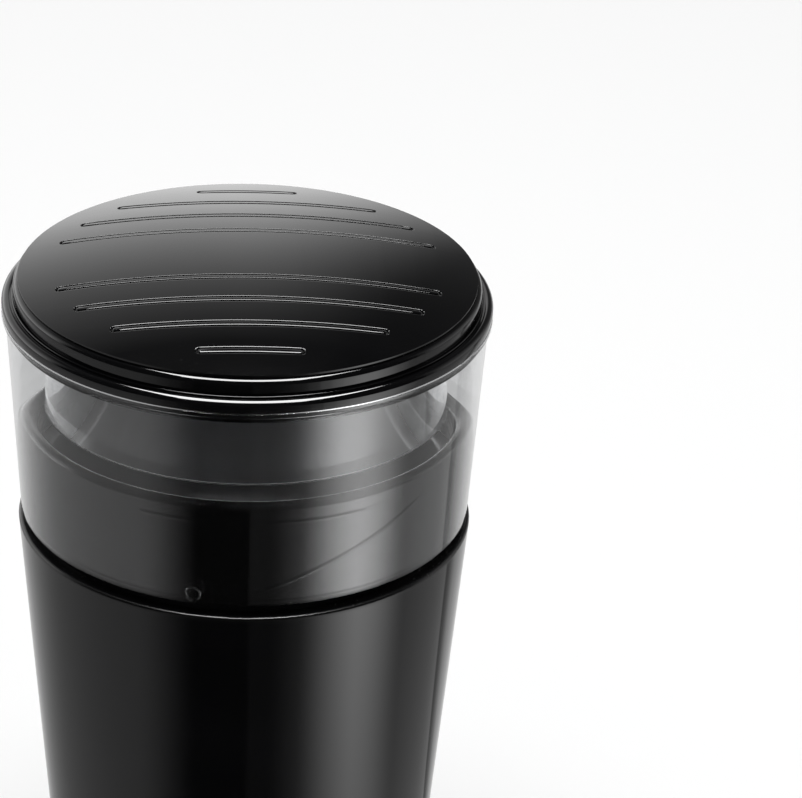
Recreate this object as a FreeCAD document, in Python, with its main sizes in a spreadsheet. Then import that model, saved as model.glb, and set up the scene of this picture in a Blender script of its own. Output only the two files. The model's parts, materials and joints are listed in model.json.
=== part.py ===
# Press-lid electric spice grinder: a tapered motor housing, a steel bowl inside a collar,
# a clear lid with a domed cap, and the motor, switch and blade that they hold.
# Millimetres, Z up. The origin lies on the axis at the feet, and the front looks along -Y.
import FreeCAD, Part
import Sketcher
import math
import os
import re

doc = FreeCAD.newDocument("SpiceGrinder")
sheet = doc.addObject("Spreadsheet::Sheet", "Sizes")

# Driving dimensions: name, size in millimetres (or degrees, or a count), meaning
SIZES = [
    ("feet_height", 2.0, "base cover's height above the table"),
    ("ledge_height", 127.85, "top of the housing, under the lid"),
    ("ledge_step", 0.66, "ledge outside the sleeve's lower edge"),
    ("rim_height", 154.9, "top of the collar"),
    ("lid_gap", 2.5, "gap under the clear sleeve"),
    ("cap_height", 178.0, "lower edge of the cap"),
    ("press_travel", 2.0, "how far the lid goes down"),
    ("fit", 0.05, "clearance of a seated piece"),
    ("running_fit", 0.03, "clearance of a turning shaft"),
    ("slide_fit", 0.3, "clearance of a sliding or dropped-in piece"),
    # housing
    ("housing_taper", 10.06, "how much narrower the base is"),
    ("housing_wall", 2.2, "wall of the shell"),
    ("housing_edge", 0.8, "rounding of the ledge's outer edge"),
    ("rabbet_depth", 2.85, "step that the collar sits in"),
    ("shelf_thickness", 2.5, "shelf under the collar"),
    ("boss_radius", 3.2, "posts that take the screws"),
    ("boss_embed", 0.7, "how deep a post's foot enters the wall"),
    ("post_gap", 0.3, "between a post over the motor carrier and the bowl"),
    ("base_boss_height", 13.5, "posts over the base cover"),
    ("cord_height", 13.0, "cord inlet above the table"),
    ("cord_boss_radius", 8.0, "flat round seat of the cord inlet"),
    ("cord_boss_stand", 2.0, "seat outside the housing's base"),
    ("cord_boss_thickness", 4.6, "from the seat to the boss's inner face"),
    ("cord_hole_radius", 5.0, "hole for the grommet"),
    # collar
    ("collar_wall", 3.6, "ring above the bowl's rim"),
    ("seat_width", 1.3, "step that carries the gasket"),
    ("seat_depth", 9.7, "that step below the collar's top"),
    ("channel_depth", 2.4, "channel for the lid's rib"),
    ("channel_width", 10.0, "channel for the lid's rib"),
    ("collar_screw_radius", 1.1, "shank"),
    ("collar_screw_length", 8.0, "under the head"),
    ("collar_screw_count", 4, "screws"),
    ("collar_turn", 45.0, "first screw, degrees from the right"),
    # bowl
    ("gasket_thickness", 0.8, "ring under the bowl's rim"),
    ("sheet_thickness", 0.8, "steel of the bowl"),
    ("rim_gap", 0.2, "between the bowl's rim and the collar"),
    ("bowl_taper", 0.8, "how much narrower the bowl is at its corner"),
    ("bowl_corner", 12.0, "outside rounding of the corner"),
    ("bowl_floor_height", 109.2, "underside of the floor"),
    ("neck_radius", 6.6, "hole for the seal"),
    ("neck_height", 4.0, "drawn neck round the hole"),
    ("seal_flange_radius", 8.4, "lip that covers the neck"),
    ("seal_flange_thickness", 0.9, "lip that covers the neck"),
    # blade
    ("shaft_radius", 3.0, "motor shaft"),
    ("shaft_tip_radius", 2.5, "threaded end in the bowl"),
    ("blade_reach", 32.0, "tip of a wing"),
    ("blade_thickness", 1.6, "steel of the blade"),
    ("washer_gap", 0.4, "washer above the seal"),
    ("blade_root_width", 14.0, "wing at the hub"),
    ("blade_tip_width", 9.0, "wing at the tip"),
    ("blade_hub_radius", 8.5, "flat middle"),
    ("blade_twist", 22.0, "turn of the wing's tip, degrees"),
    ("blade_rise", 6.0, "lift of the wing's tip"),
    ("blade_bevel", 3.0, "width of the ground edge"),
    ("blade_edge_thickness", 0.4, "ground edge"),
    ("washer_radius", 6.5, "washer under the blade"),
    ("washer_thickness", 1.5, "washer under the blade"),
    ("nut_width", 10.0, "across the flats"),
    ("nut_thickness", 4.0, "hexagon of the nut"),
    ("nut_dome", 3.2, "dome of the nut"),
    ("thread_engagement", 5.8, "shaft end inside the nut"),
    # lid
    ("sleeve_wall", 2.0, "clear wall"),
    ("collar_gap", 0.7, "between sleeve and collar"),
    ("sleeve_flare", 2.9, "how much wider the sleeve is at its top"),
    ("skirt_inset", 1.2, "inner skirt inside the collar's bore"),
    ("skirt_gap", 2.6, "inner skirt above the collar"),
    ("channel_gap", 0.5, "between the rib and the channel's floor"),
    ("rib_foot_thickness", 1.7, "rib at its foot"),
    ("rib_foot_gap", 1.0, "rib above the housing's shelf"),
    ("rib_drop", 4.9, "rib's upper end below the collar's top"),
    ("cap_overhang", 0.8, "cap outside the sleeve"),
    ("rim_width", 2.6, "rim outside the disc"),
    ("recess_gap", 0.4, "hollow outside the inner skirt"),
    ("recess_rim", 4.8, "solid edge outside the hollow"),
    ("groove_margin", 8.4, "from the lines' circle to the disc's edge"),
    ("sleeve_edge", 0.5, "rounding of the lower edge"),
    ("web_thickness", 1.8, "clear web under the cap"),
    ("skirt_wall", 1.6, "inner skirt"),
    ("rib_width", 9.0, "rib that works the switch"),
    ("rim_thickness", 3.9, "rim, up to its flat top"),
    ("rim_round", 1.3, "rounding of the rim's top edge"),
    ("rim_groove_depth", 0.8, "groove between rim and disc"),
    ("rim_groove_width", 0.45, "groove between rim and disc"),
    ("disc_edge", 2.2, "rounding of the disc's edge"),
    ("dome_height", 14.0, "top of the dome above the cap's lower edge"),
    ("dome_radius", 240.0, "sphere of the dome"),
    ("cap_wall", 2.4, "thickness of the cap"),
    ("plug_depth", 1.7, "ring that centres the cap in the web"),
    ("plug_wall", 1.8, "ring that centres the cap in the web"),
    ("recess_depth", 5.0, "hollow under the rim"),
    ("groove_width", 2.2, "line in the cap"),
    ("groove_depth", 0.6, "line in the cap"),
    ("groove_first", 12.5, "first line from the middle"),
    ("groove_pitch", 10.0, "from line to line"),
    ("groove_angle", 3.8, "turn of the lines about the axis, degrees"),
    ("groove_count", 4, "lines on each half"),
    # motor carrier
    ("carrier_thickness", 3.5, "plate"),
    ("bowl_clearance", 7.7, "plate below the bowl"),
    ("carrier_hub_depth", 4.5, "middle of the carrier below the plate"),
    ("carrier_rim", 5.6, "plate outside the switch bracket's screws"),
    ("isolator_inset", 3.6, "isolators inside the plate's edge"),
    ("screw_end_gap", 0.4, "screw's tip below the top of its post"),
    ("carrier_hub_radius", 12.0, "middle of the carrier"),
    ("carrier_screw_radius", 1.5, "shank"),
    ("carrier_hole_radius", 1.8, "hole in the plate"),
    ("carrier_screw_count", 3, "screws, isolators and posts"),
    ("carrier_turn", 30.0, "first screw, degrees from the right"),
    ("isolator_thickness", 2.5, "rubber ring"),
    ("isolator_radius", 3.4, "rubber ring"),
    ("head_radius", 2.8, "screw heads"),
    ("head_height", 2.0, "screw heads"),
    ("head_crown", 0.6, "flat of a screw head, as a share of the head"),
    ("screw_point", 0.35, "blunt tip of a screw, as a share of its shank"),
    ("small_head_radius", 2.0, "heads of the collar's screws"),
    ("small_head_height", 1.4, "heads of the collar's screws"),
    # motor
    ("bearing_radius", 7.5, "upper bearing"),
    ("bearing_width", 5.0, "upper bearing"),
    ("bearing_lift", 0.8, "upper bearing above the hub's lower end"),
    ("bearing_race", 1.2, "thickness of the bearing's rings"),
    ("bearing_sink", 0.4, "shield below the bearing's rings"),
    ("shaft_hole_radius", 4.2, "hole over the upper bearing"),
    ("core_length", 26.0, "height of the laminations"),
    ("core_clearance", 14.0, "laminations below the carrier"),
    ("air_gap", 0.5, "between rotor and stator"),
    ("slot_count", 12, "rotor slots and commutator bars"),
    ("slot_mouth", 1.8, "opening of a rotor slot"),
    ("slot_depth", 6.7, "depth of a rotor slot"),
    ("slot_width", 3.4, "inside of a rotor slot"),
    ("tooth_lip", 1.2, "steel over the slot"),
    ("winding_height", 3.8, "winding over the rotor's ends"),
    ("winding_inset_outer", 2.1, "winding inside the rotor's edge"),
    ("winding_inset", 1.6, "between shaft and winding"),
    ("wire_clearance", 0.25, "between winding and steel"),
    ("stator_half_length", 28.0, "along X"),
    ("stator_half_width", 24.0, "along Y"),
    ("stator_corner", 6.0, "rounding of the stator"),
    ("yoke", 5.5, "thickness of the stator's frame"),
    ("pole_neck", 7.5, "half the width of a pole's neck"),
    ("pole_shoe", 3.5, "thickness of a pole's shoe"),
    ("shoe_angle", 60.0, "half the angle of a pole's shoe, degrees"),
    ("coil_width", 2.4, "field coil along X"),
    ("coil_end", 6.5, "field coil above the laminations"),
    ("coil_gap", 1.75, "between a field coil and the stator's frame"),
    ("coil_play", 0.1, "field coil along X"),
    ("coil_round", 5.0, "rounding of the coil's corners"),
    ("bolt_radius", 1.6, "shank"),
    ("bolt_inset", 3.5, "screw inside the stator's edges"),
    ("bolt_grip", 9.0, "length of the screw inside the carrier's leg"),
    ("bolt_hole_radius", 1.75, "hole in stator, bracket and carrier leg"),
    ("leg_radius", 3.4, "carrier and bracket legs"),
    ("bracket_thickness", 3.0, "lower bracket"),
    ("bracket_width", 9.0, "lower bracket"),
    ("bush_length", 8.0, "lower bearing"),
    ("plate_gap", 1.5, "brush plate below the commutator"),
    ("bracket_lift", 1.0, "lower bracket above the bearing's lower end"),
    ("bush_radius", 6.0, "lower bearing"),
    ("bush_hub_radius", 10.0, "middle of the lower bracket"),
    ("commutator_length", 11.0, "height"),
    ("commutator_gap", 0.95, "commutator below the winding"),
    ("commutator_radius", 10.0, "brush track"),
    ("riser_radius", 11.6, "tabs for the wires"),
    ("riser_height", 2.0, "tabs for the wires"),
    ("bar_gap", 0.6, "slot between bars"),
    ("bar_depth", 1.2, "slot between bars"),
    ("brush_plate_thickness", 2.5, "plate that holds the brushes"),
    ("brush_height", 5.0, "carbon, along Z"),
    ("brush_lift", 3.0, "carbon above the commutator's lower end"),
    ("plate_margin", 1.1, "brush plate inside the lower bracket's legs"),
    ("holder_margin", 0.4, "brush holder inside the plate's edge"),
    ("brush_width", 6.0, "carbon, along X"),
    ("brush_length", 11.0, "carbon, along Y"),
    ("holder_start", 12.2, "inner end of a brush holder"),
    ("holder_wall", 1.2, "walls of a brush holder"),
    ("brush_spring_radius", 1.7, "middle of the wire"),
    ("brush_spring_turns", 3, "turns"),
    ("fan_height", 8.0, "cooling fan"),
    ("fan_gap", 3.0, "fan below the lower bearing"),
    ("shaft_end", 2.0, "shaft below the fan"),
    ("fan_radius", 25.0, "cooling fan"),
    ("fan_disc", 1.4, "disc of the fan"),
    ("fan_hub_radius", 6.5, "middle of the fan"),
    ("fan_blade", 1.2, "thickness of a fan blade"),
    ("fan_count", 9, "fan blades"),
    # switch
    ("slider_width", 8.0, "slider along X"),
    ("slider_head", 8.0, "slider's head, down to its shoulder"),
    ("stem_step", 0.3, "stem inside the slider's head"),
    ("slider_gap", 0.05, "between the lid's rib and the slider"),
    ("slider_thickness", 1.4, "head of the slider"),
    ("slider_step", 3.0, "height of that step"),
    ("stem_thickness", 2.0, "stem"),
    ("foot_thickness", 2.8, "foot of the slider"),
    ("foot_stop", 0.1, "foot under the carrier at rest"),
    ("foot_overhang", 2.5, "foot behind the switch's inner face"),
    ("switch_depth", 10.3, "along Y"),
    ("switch_tall", 15.9, "along Z"),
    ("switch_drop", 2.4, "switch below the slider's foot"),
    ("switch_gap", 3.0, "between stator and switch"),
    ("button_radius", 1.9, "switch button"),
    ("button_length", 4.2, "switch button"),
    ("switch_screw_spacing", 22.2, "along X"),
    ("switch_end", 2.8, "from a screw to the switch's end"),
    ("bracket_margin", 2.5, "bracket outside the switch's ends"),
    ("switch_screw_lift", 3.0, "above the switch's lower face"),
    ("switch_screw_radius", 1.4, "shank"),
    ("switch_screw_length", 12.0, "under the head"),
    ("terminal_width", 6.3, "flat connector along Y"),
    ("terminal_thickness", 0.8, "flat connector"),
    ("terminal_length", 7.0, "flat connector"),
    ("terminal_pitch", 9.5, "from connector to connector"),
    ("backplate_thickness", 2.0, "upright of the switch bracket"),
    ("backplate_overhang", 1.0, "switch bracket below the switch"),
    ("backplate_notch", 10.0, "room for the slider's foot"),
    ("flange_thickness", 2.5, "top of the switch bracket"),
    ("bracket_screw_spacing", 23.0, "along X"),
    ("bracket_screw_inset", 6.0, "from the switch's inner face"),
    ("bracket_grip", 2.0, "screw inside the bracket"),
    ("spring_shelf", 2.5, "thickness of that shelf"),
    ("spring_length", 11.1, "spring at rest"),
    ("spring_room", 2.6, "spring's axis behind the switch bracket"),
    ("stem_offset", 2.2, "stem behind the spring's axis"),
    ("spring_radius", 2.1, "middle of the wire"),
    ("spring_wire", 0.35, "radius of the wire"),
    ("spring_turns", 5, "turns"),
    ("spring_pin_radius", 1.4, "pin inside the spring"),
    ("spring_pin_height", 4.0, "pin inside the spring"),
    # base
    ("base_thickness", 2.5, "base cover"),
    ("base_screw_radius", 1.5, "shank"),
    ("base_screw_inset", 7.9, "base screws inside the housing's base"),
    ("base_screw_length", 10.0, "under the head"),
    ("base_screw_count", 4, "base screws and posts"),
    ("base_turn", 45.0, "first screw, degrees from the right"),
    ("base_recess", 1.0, "sink of the screw heads"),
    ("base_lip_height", 2.2, "ring inside the base cover"),
    ("base_lip_wall", 1.6, "ring inside the base cover"),
    ("base_lip_inset", 3.8, "ring inside the circle of the feet"),
    ("vent_margin", 1.6, "air slots inside the ring"),
    ("vent_inner", 9.0, "air slots, inner end"),
    ("vent_width", 2.6, "air slots"),
    ("vent_count", 12, "air slots"),
    ("foot_radius", 5.0, "rubber foot"),
    ("foot_inset", 8.9, "feet inside the housing's base"),
    ("foot_round", 0.6, "rounding of a foot's lower edge"),
    ("foot_plug_radius", 2.4, "stem of a foot"),
    ("foot_barb_radius", 2.9, "barb of a foot"),
    ("foot_barb_height", 1.6, "barb of a foot"),
    ("foot_count", 4, "feet"),
    ("grommet_bore", 3.2, "radius of the cord's hole"),
    ("grommet_flange_radius", 6.6, "flanges of the grommet"),
    ("grommet_flange", 1.5, "thickness of a flange"),
]

# Sizes that follow from others by a named clearance: name, formula, meaning
TIED_SIZES = [
    ("switch_length", "switch_screw_spacing + 2 * switch_end", "along X"),
    ("backplate_width", "switch_length + 2 * bracket_margin", "switch bracket along X"),
    ("switch_inner", "stator_half_width + switch_gap", "face towards the motor"),
    ("spring_place",
     "switch_inner + switch_depth + slide_fit + backplate_thickness + spring_room",
     "spring's axis, along Y"),
    ("foot_inner", "switch_inner + foot_overhang", "inner end of the foot"),
    ("bracket_screw_place", "switch_inner + bracket_screw_inset", "from the axis, along Y"),
    ("carrier_radius", "bracket_screw_place + carrier_rim", "plate"),
    ("carrier_screw_circle", "carrier_radius - isolator_inset", "radius of the isolators"),
    ("stem_inner", "spring_place + stem_offset", "inner face of the stem"),
    ("rib_radius", "stem_inner + stem_thickness + stem_step", "inner face of the rib"),
    ("rib_foot_radius", "rib_radius + rib_foot_thickness", "outer face of the rib's foot"),
    ("channel_radius", "rib_radius - channel_gap", "floor of the channel"),
    ("collar_radius", "channel_radius + channel_depth", "outside"),
    ("collar_inner_radius", "collar_radius - collar_wall", "inside, above the bowl's rim"),
    ("collar_lower_radius", "collar_inner_radius - seat_width", "inside, round the bowl"),
    ("collar_screw_circle",
     "(collar_lower_radius + collar_radius) / 2",
     "radius of the screws under the collar"),
    ("bowl_rim_radius", "collar_inner_radius - rim_gap", "outside of the rim"),
    ("bowl_top_radius", "collar_lower_radius - slide_fit", "outside of the wall, at the rim"),
    ("bowl_low_radius", "bowl_top_radius - bowl_taper", "outside of the wall, at the corner"),
    ("sleeve_low_radius", "collar_radius + collar_gap + sleeve_wall", "outside, at the lower edge"),
    ("sleeve_top_radius", "sleeve_low_radius + sleeve_flare", "outside, under the cap"),
    ("skirt_radius", "collar_inner_radius - skirt_inset", "outside of the inner skirt"),
    ("cap_radius", "sleeve_top_radius + cap_overhang", "rim"),
    ("disc_radius", "cap_radius - rim_width", "domed disc"),
    ("recess_inner_radius", "skirt_radius + recess_gap", "hollow under the rim"),
    ("recess_outer_radius", "cap_radius - recess_rim", "hollow under the rim"),
    ("groove_circle", "disc_radius - groove_margin", "circle that the lines end on"),
    ("housing_top_radius", "sleeve_low_radius + ledge_step", "outside, at the ledge"),
    ("housing_base_radius", "housing_top_radius - housing_taper", "outside, at the base"),
    ("cord_boss_reach", "housing_base_radius + cord_boss_stand", "from the axis to the seat"),
    ("base_screw_circle", "housing_base_radius - base_screw_inset", "radius of the base screws"),
    ("foot_circle", "housing_base_radius - foot_inset", "radius of the feet"),
    ("base_lip_radius", "foot_circle - base_lip_inset", "ring inside the base cover"),
    ("vent_outer", "base_lip_radius - base_lip_wall - vent_margin", "air slots, outer end"),
    ("rib_bottom", "ledge_height - rabbet_depth + rib_foot_gap", "lower end of the rib"),
    ("rib_top", "rim_height - rib_drop", "upper end of the rib"),
    ("bowl_seat_height", "rim_height - seat_depth", "step that carries the gasket"),
    ("skirt_bottom", "rim_height + skirt_gap", "lower end of the inner skirt"),
    ("slider_shoulder", "rib_bottom - slider_head", "where the slider steps inwards"),
    ("blade_height",
     "bowl_floor_height + neck_height + seal_flange_thickness + washer_gap + washer_thickness",
     "underside of the blade"),
    ("carrier_height", "bowl_floor_height - bowl_clearance - carrier_thickness", "underside of the plate"),
    ("carrier_boss_height",
     "bowl_clearance - isolator_thickness - post_gap",
     "posts over the motor carrier"),
    ("carrier_screw_length",
     "carrier_thickness + bowl_clearance - post_gap - screw_end_gap",
     "under the head"),
    ("carrier_hub_bottom", "carrier_height - carrier_hub_depth", "lower end of the middle"),
    ("spring_seat",
     "carrier_height - foot_stop - foot_thickness - spring_length",
     "top of the shelf that carries the spring"),
    ("backplate_bottom",
     "carrier_height - foot_stop - foot_thickness - switch_drop - switch_tall - backplate_overhang",
     "lower edge of the switch bracket"),
    ("core_bottom", "carrier_height - core_clearance - core_length", "lower face of the laminations"),
    ("commutator_bottom",
     "core_bottom - wire_clearance - winding_height - commutator_gap - commutator_length",
     "lower end"),
    ("brush_bottom", "commutator_bottom + brush_lift", "carbon above the table"),
    ("bush_bottom",
     "commutator_bottom - plate_gap - brush_plate_thickness - bush_length",
     "lower bearing"),
    ("bracket_bottom", "bush_bottom + bracket_lift", "lower bracket"),
    ("fan_bottom", "bush_bottom - fan_gap - fan_height", "cooling fan"),
    ("shaft_bottom", "fan_bottom - shaft_end", "lower end of the shaft"),
    ("armature_radius",
     "stator_half_length - yoke - pole_shoe - air_gap - coil_width - 2 * wire_clearance - coil_play",
     "rotor laminations"),
    ("slot_floor", "armature_radius - slot_depth", "radius of the slot's floor"),
    ("winding_radius", "armature_radius - winding_inset_outer", "winding over the rotor's ends"),
    ("coil_side",
     "stator_half_width - yoke - pole_neck - wire_clearance - coil_gap",
     "field coil beside the neck"),
    ("bolt_circle",
     "sqrt((stator_half_length - bolt_inset) ^ 2 + (stator_half_width - bolt_inset) ^ 2)",
     "radius of the long motor screws"),
    ("bolt_angle",
     "atan((stator_half_width - bolt_inset) / (stator_half_length - bolt_inset)) / 1 deg",
     "turn of the long motor screws, degrees"),
    ("brush_plate_radius", "bolt_circle - leg_radius - plate_margin", "plate that holds the brushes"),
    ("holder_end", "brush_plate_radius - holder_margin", "outer end of a brush holder"),
]

ROWS = [(alias, str(number), meaning) for alias, number, meaning in SIZES]
ROWS += [(alias, "=" + formula, meaning) for alias, formula, meaning in TIED_SIZES]
for row, (alias, content, meaning) in enumerate(ROWS, start=1):
    sheet.setAlias(f"B{row}", alias)
for row, (alias, content, meaning) in enumerate(ROWS, start=1):
    sheet.set(f"A{row}", alias)
    sheet.set(f"B{row}", content)
    sheet.set(f"C{row}", meaning)
doc.recompute()

UP = FreeCAD.Vector(0, 0, 1)
ALIASES = {alias for alias, content, meaning in ROWS}
NODES = []


# Expressions

def cells(text):
    """The expression with the sheet's name before each alias."""
    return re.sub(r"[a-z_]+", lambda word: "Sizes." + word[0] if word[0] in ALIASES else word[0], text)


def value(text):
    """What an expression comes to now."""
    return float(sheet.evalExpression(cells(text)))


def bind(thing, **expressions):
    """Bind properties of an object to expressions; two underscores stand for a dot."""
    for name, text in expressions.items():
        thing.setExpression(name.replace("__", "."), cells(text))


def housing_radius(height):
    """Outside radius of the housing at a height, as an expression."""
    slope = "(housing_top_radius - housing_base_radius) / (ledge_height - feet_height)"
    return f"(housing_base_radius + ({height} - feet_height) * {slope})"


def housing_inside(height):
    """Inside radius of the housing at a height, as an expression."""
    return f"({housing_radius(height)} - housing_wall)"


def sleeve_radius(height):
    """Outside radius of the clear sleeve at a height, as an expression."""
    bottom = "(ledge_height + lid_gap)"
    slope = f"(sleeve_top_radius - sleeve_low_radius) / (cap_height - {bottom})"
    return f"(sleeve_low_radius + ({height} - {bottom}) * {slope})"


# Bodies, sketches and features

def new_body(name):
    body = doc.addObject("PartDesign::Body", name)
    body.Label = name
    NODES.append(body)
    return body


def origin_part(body, role):
    """An origin plane or axis of a body, found by its role."""
    return next(part for part in body.Origin.OriginFeatures if part.Role == role)


def new_sketch(body, plane, lift="0", shift="0", rise="0", turn="0"):
    """An empty sketch on an origin plane: lifted along its normal, moved in it, or turned."""
    sketch = body.newObject("Sketcher::SketchObject", body.Name + "_sketch")
    sketch.AttachmentSupport = [(origin_part(body, plane), "")]
    sketch.MapMode = "FlatFace"
    sketch.AttachmentOffset = FreeCAD.Placement(FreeCAD.Vector(), FreeCAD.Rotation(UP, value(turn)))
    bind(sketch, AttachmentOffset__Base__z=lift, AttachmentOffset__Base__x=shift,
         AttachmentOffset__Base__y=rise)
    if turn != "0":
        bind(sketch, AttachmentOffset__Rotation__Angle=turn)
    return sketch


def constrain(sketch, kind, *where_and_size):
    """Add a constraint whose last item is an expression, and bind it."""
    *where, size = where_and_size
    index = sketch.addConstraint(Sketcher.Constraint(kind, *where, value(size)))
    sketch.setExpression(f"Constraints[{index}]", cells(size))


def place_point(sketch, edge, end, x, y):
    """Hold a point of an edge at x, y; a zero lies on the axis."""
    for kind, size, axis in (("DistanceX", x, -2), ("DistanceY", y, -1)):
        if size == "0":
            sketch.addConstraint(Sketcher.Constraint("PointOnObject", edge, end, axis))
        else:
            constrain(sketch, kind, -1, 1, edge, end, size)


def arc_between(start, end, radius, turn):
    """The short arc from start to end, turning left or right."""
    middle = (start + end) / 2
    chord = end - start
    side = FreeCAD.Vector(-chord.y, chord.x, 0).normalize()
    depth = math.sqrt(max(radius ** 2 - (chord.Length / 2) ** 2, 0.0))
    centre = middle + side * (depth if turn == "left" else -depth)
    first, last = (start, end) if turn == "left" else (end, start)
    from_angle = math.atan2(first.y - centre.y, first.x - centre.x)
    to_angle = math.atan2(last.y - centre.y, last.x - centre.x)
    circle = Part.Circle(centre, UP, radius)
    return Part.ArcOfCircle(circle, from_angle, to_angle)


def outline(sketch, points):
    """Draw a closed outline. A point is x, y, or x, y, radius, turn for an arc that ends there."""
    corners = [FreeCAD.Vector(value(point[0]), value(point[1]), 0) for point in points]
    ends = []
    for index, point in enumerate(points):
        start, end = corners[index - 1], corners[index]
        if len(point) == 2:
            edge = sketch.addGeometry(Part.LineSegment(start, end))
            ends.append((edge, 1, 2))
        else:
            edge = sketch.addGeometry(arc_between(start, end, value(point[2]), point[3]))
            ends.append((edge, 1, 2) if point[3] == "left" else (edge, 2, 1))
    for index, point in enumerate(points):
        edge, first, last = ends[index]
        next_edge, next_first, next_last = ends[(index + 1) % len(points)]
        sketch.addConstraint(Sketcher.Constraint("Coincident", edge, last, next_edge, next_first))
        place_point(sketch, edge, last, point[0], point[1])
        if len(point) > 2:
            constrain(sketch, "Radius", edge, point[2])
    return sketch


def circle(sketch, x, y, radius):
    """Draw a circle."""
    centre = FreeCAD.Vector(value(x), value(y), 0)
    edge = sketch.addGeometry(Part.Circle(centre, UP, value(radius)))
    constrain(sketch, "Radius", edge, radius)
    place_point(sketch, edge, 3, x, y)
    return sketch


def rectangle(sketch, left, right, low, high):
    """Draw a rectangle."""
    return outline(sketch, [(left, low), (right, low), (right, high), (left, high)])


def feature(body, kind, sketch, **settings):
    """Add a feature made from a sketch and recompute it."""
    made = body.newObject("PartDesign::" + kind, body.Name + "_" + kind.lower())
    made.Profile = sketch
    for name, setting in settings.items():
        setattr(made, name, setting)
    return made


def pad(body, sketch, length, **settings):
    made = feature(body, "Pad", sketch, **settings)
    bind(made, Length=length)
    return made


def pocket(body, sketch, length, **settings):
    """Cut away from the sketch, and make sure that it cuts."""
    doc.recompute()
    before = body.Shape.Volume
    made = feature(body, "Pocket", sketch, **settings)
    bind(made, Length=length)
    doc.recompute()
    assert body.Shape.Volume < before, body.Name + " isn't cut"
    return made


def turned(body, points, shift="0"):
    """Turn an outline of radius and height about the vertical line at the shift."""
    sketch = outline(new_sketch(body, "XZ_Plane", shift=shift), points)
    return feature(body, "Revolution", sketch, ReferenceAxis=(sketch, ["V_Axis"]), Angle=360.0)


def ring(body, inner, outer, low, high, shift="0"):
    """A plain ring or washer."""
    return turned(body, [(inner, low), (outer, low), (outer, high), (inner, high)], shift)


def around(body, features, count):
    """Repeat features about the body's Z axis."""
    pattern = body.newObject("PartDesign::PolarPattern", body.Name + "_pattern")
    pattern.Originals = features
    pattern.Axis = (origin_part(body, "Z_Axis"), [""])
    pattern.Angle = 360.0
    bind(pattern, Occurrences=count)
    body.Tip = pattern
    return pattern


def opposite(body, features, plane):
    """Mirror features in an origin plane of the body."""
    mirror = body.newObject("PartDesign::Mirrored", body.Name + "_mirror")
    mirror.Originals = features
    mirror.MirrorPlane = (origin_part(body, plane), [""])
    body.Tip = mirror
    return mirror


def screw(body, shift, seat, length, radius, head_radius, head_height, way="up"):
    """A pan-head screw along Z. Its head lies under the seat, or over it for way down."""
    sign = "+" if way == "up" else "-"
    other = "-" if way == "up" else "+"
    tip = f"({seat}) {sign} ({length})"
    cone = f"({seat}) {sign} ({length}) {other} ({radius})"
    crown = f"({seat}) {other} ({head_height})"
    brim = f"({seat}) {other} ({head_height}) / 2"
    points = [("0", crown), (f"({head_radius}) * head_crown", crown), (head_radius, brim),
              (head_radius, seat), (radius, seat), (radius, cone), (f"({radius}) * screw_point", tip),
              ("0", tip)]
    return turned(body, points, shift)


def turn_body(body, angle):
    """Turn a whole body about the grinder's axis; the angle is an expression in degrees."""
    body.Placement = FreeCAD.Placement(FreeCAD.Vector(), FreeCAD.Rotation(UP, value(angle)))
    bind(body, Placement__Rotation__Angle=angle)


# Heights and radii that several pieces share
SHELF_TOP = "(ledge_height - rabbet_depth)"
SHELF_BOTTOM = f"({SHELF_TOP} - shelf_thickness)"
BASE_TOP = "(feet_height + base_thickness)"
CARRIER_TOP = "(carrier_height + carrier_thickness)"
BOSS_BOTTOM = f"({CARRIER_TOP} + isolator_thickness)"
BOSS_TOP = f"({BOSS_BOTTOM} + carrier_boss_height)"
BOWL_RIM = "(bowl_seat_height + gasket_thickness)"
NECK_TOP = "(bowl_floor_height + neck_height)"
SLEEVE_BOTTOM = "(ledge_height + lid_gap)"
CORE_TOP = "(core_bottom + core_length)"
COMMUTATOR_TOP = "(commutator_bottom + commutator_length)"
BRUSH_PLATE_BOTTOM = "(bush_bottom + bush_length)"
BRUSH_PLATE_TOP = f"({BRUSH_PLATE_BOTTOM} + brush_plate_thickness)"
FOOT_TOP = "(carrier_height - foot_stop)"
FOOT_BOTTOM = f"({FOOT_TOP} - foot_thickness)"
SWITCH_TOP = f"({FOOT_BOTTOM} - switch_drop)"
SWITCH_BOTTOM = f"({SWITCH_TOP} - switch_tall)"
SWITCH_OUTER = "(switch_inner + switch_depth)"
BACKPLATE_OUTER = f"({SWITCH_OUTER} + slide_fit + backplate_thickness)"


def boss(body, place, low, height, wall_reach, turn):
    """A screw post on a tongue that runs out into the housing's wall."""
    tongue = outline(new_sketch(body, "XY_Plane", lift=low, turn=turn), [
        (place, "-boss_radius", "boss_radius", "left"),
        (wall_reach, "-boss_radius"),
        (wall_reach, "boss_radius"),
        (place, "boss_radius"),
        (f"{place} - boss_radius", "0", "boss_radius", "left"),
    ])
    return pad(body, tongue, height)


def round_hole(body, place, low, height, radius, turn="0"):
    """A vertical hole beside the axis, cut upwards from its lower end."""
    hole = circle(new_sketch(body, "XY_Plane", lift=low, turn=turn), place, "0", radius)
    return pocket(body, hole, height, Reversed=True)


def stadium(sketch, start, end, half_width):
    """A slot outline along X with round ends; start and end are its tips."""
    first, last = f"({start}) + ({half_width})", f"({end}) - ({half_width})"
    return outline(sketch, [
        (first, f"-({half_width})", half_width, "left"),
        (last, f"-({half_width})"),
        (end, "0", half_width, "left"),
        (last, half_width, half_width, "left"),
        (first, half_width),
        (start, "0", half_width, "left"),
    ])


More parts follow.
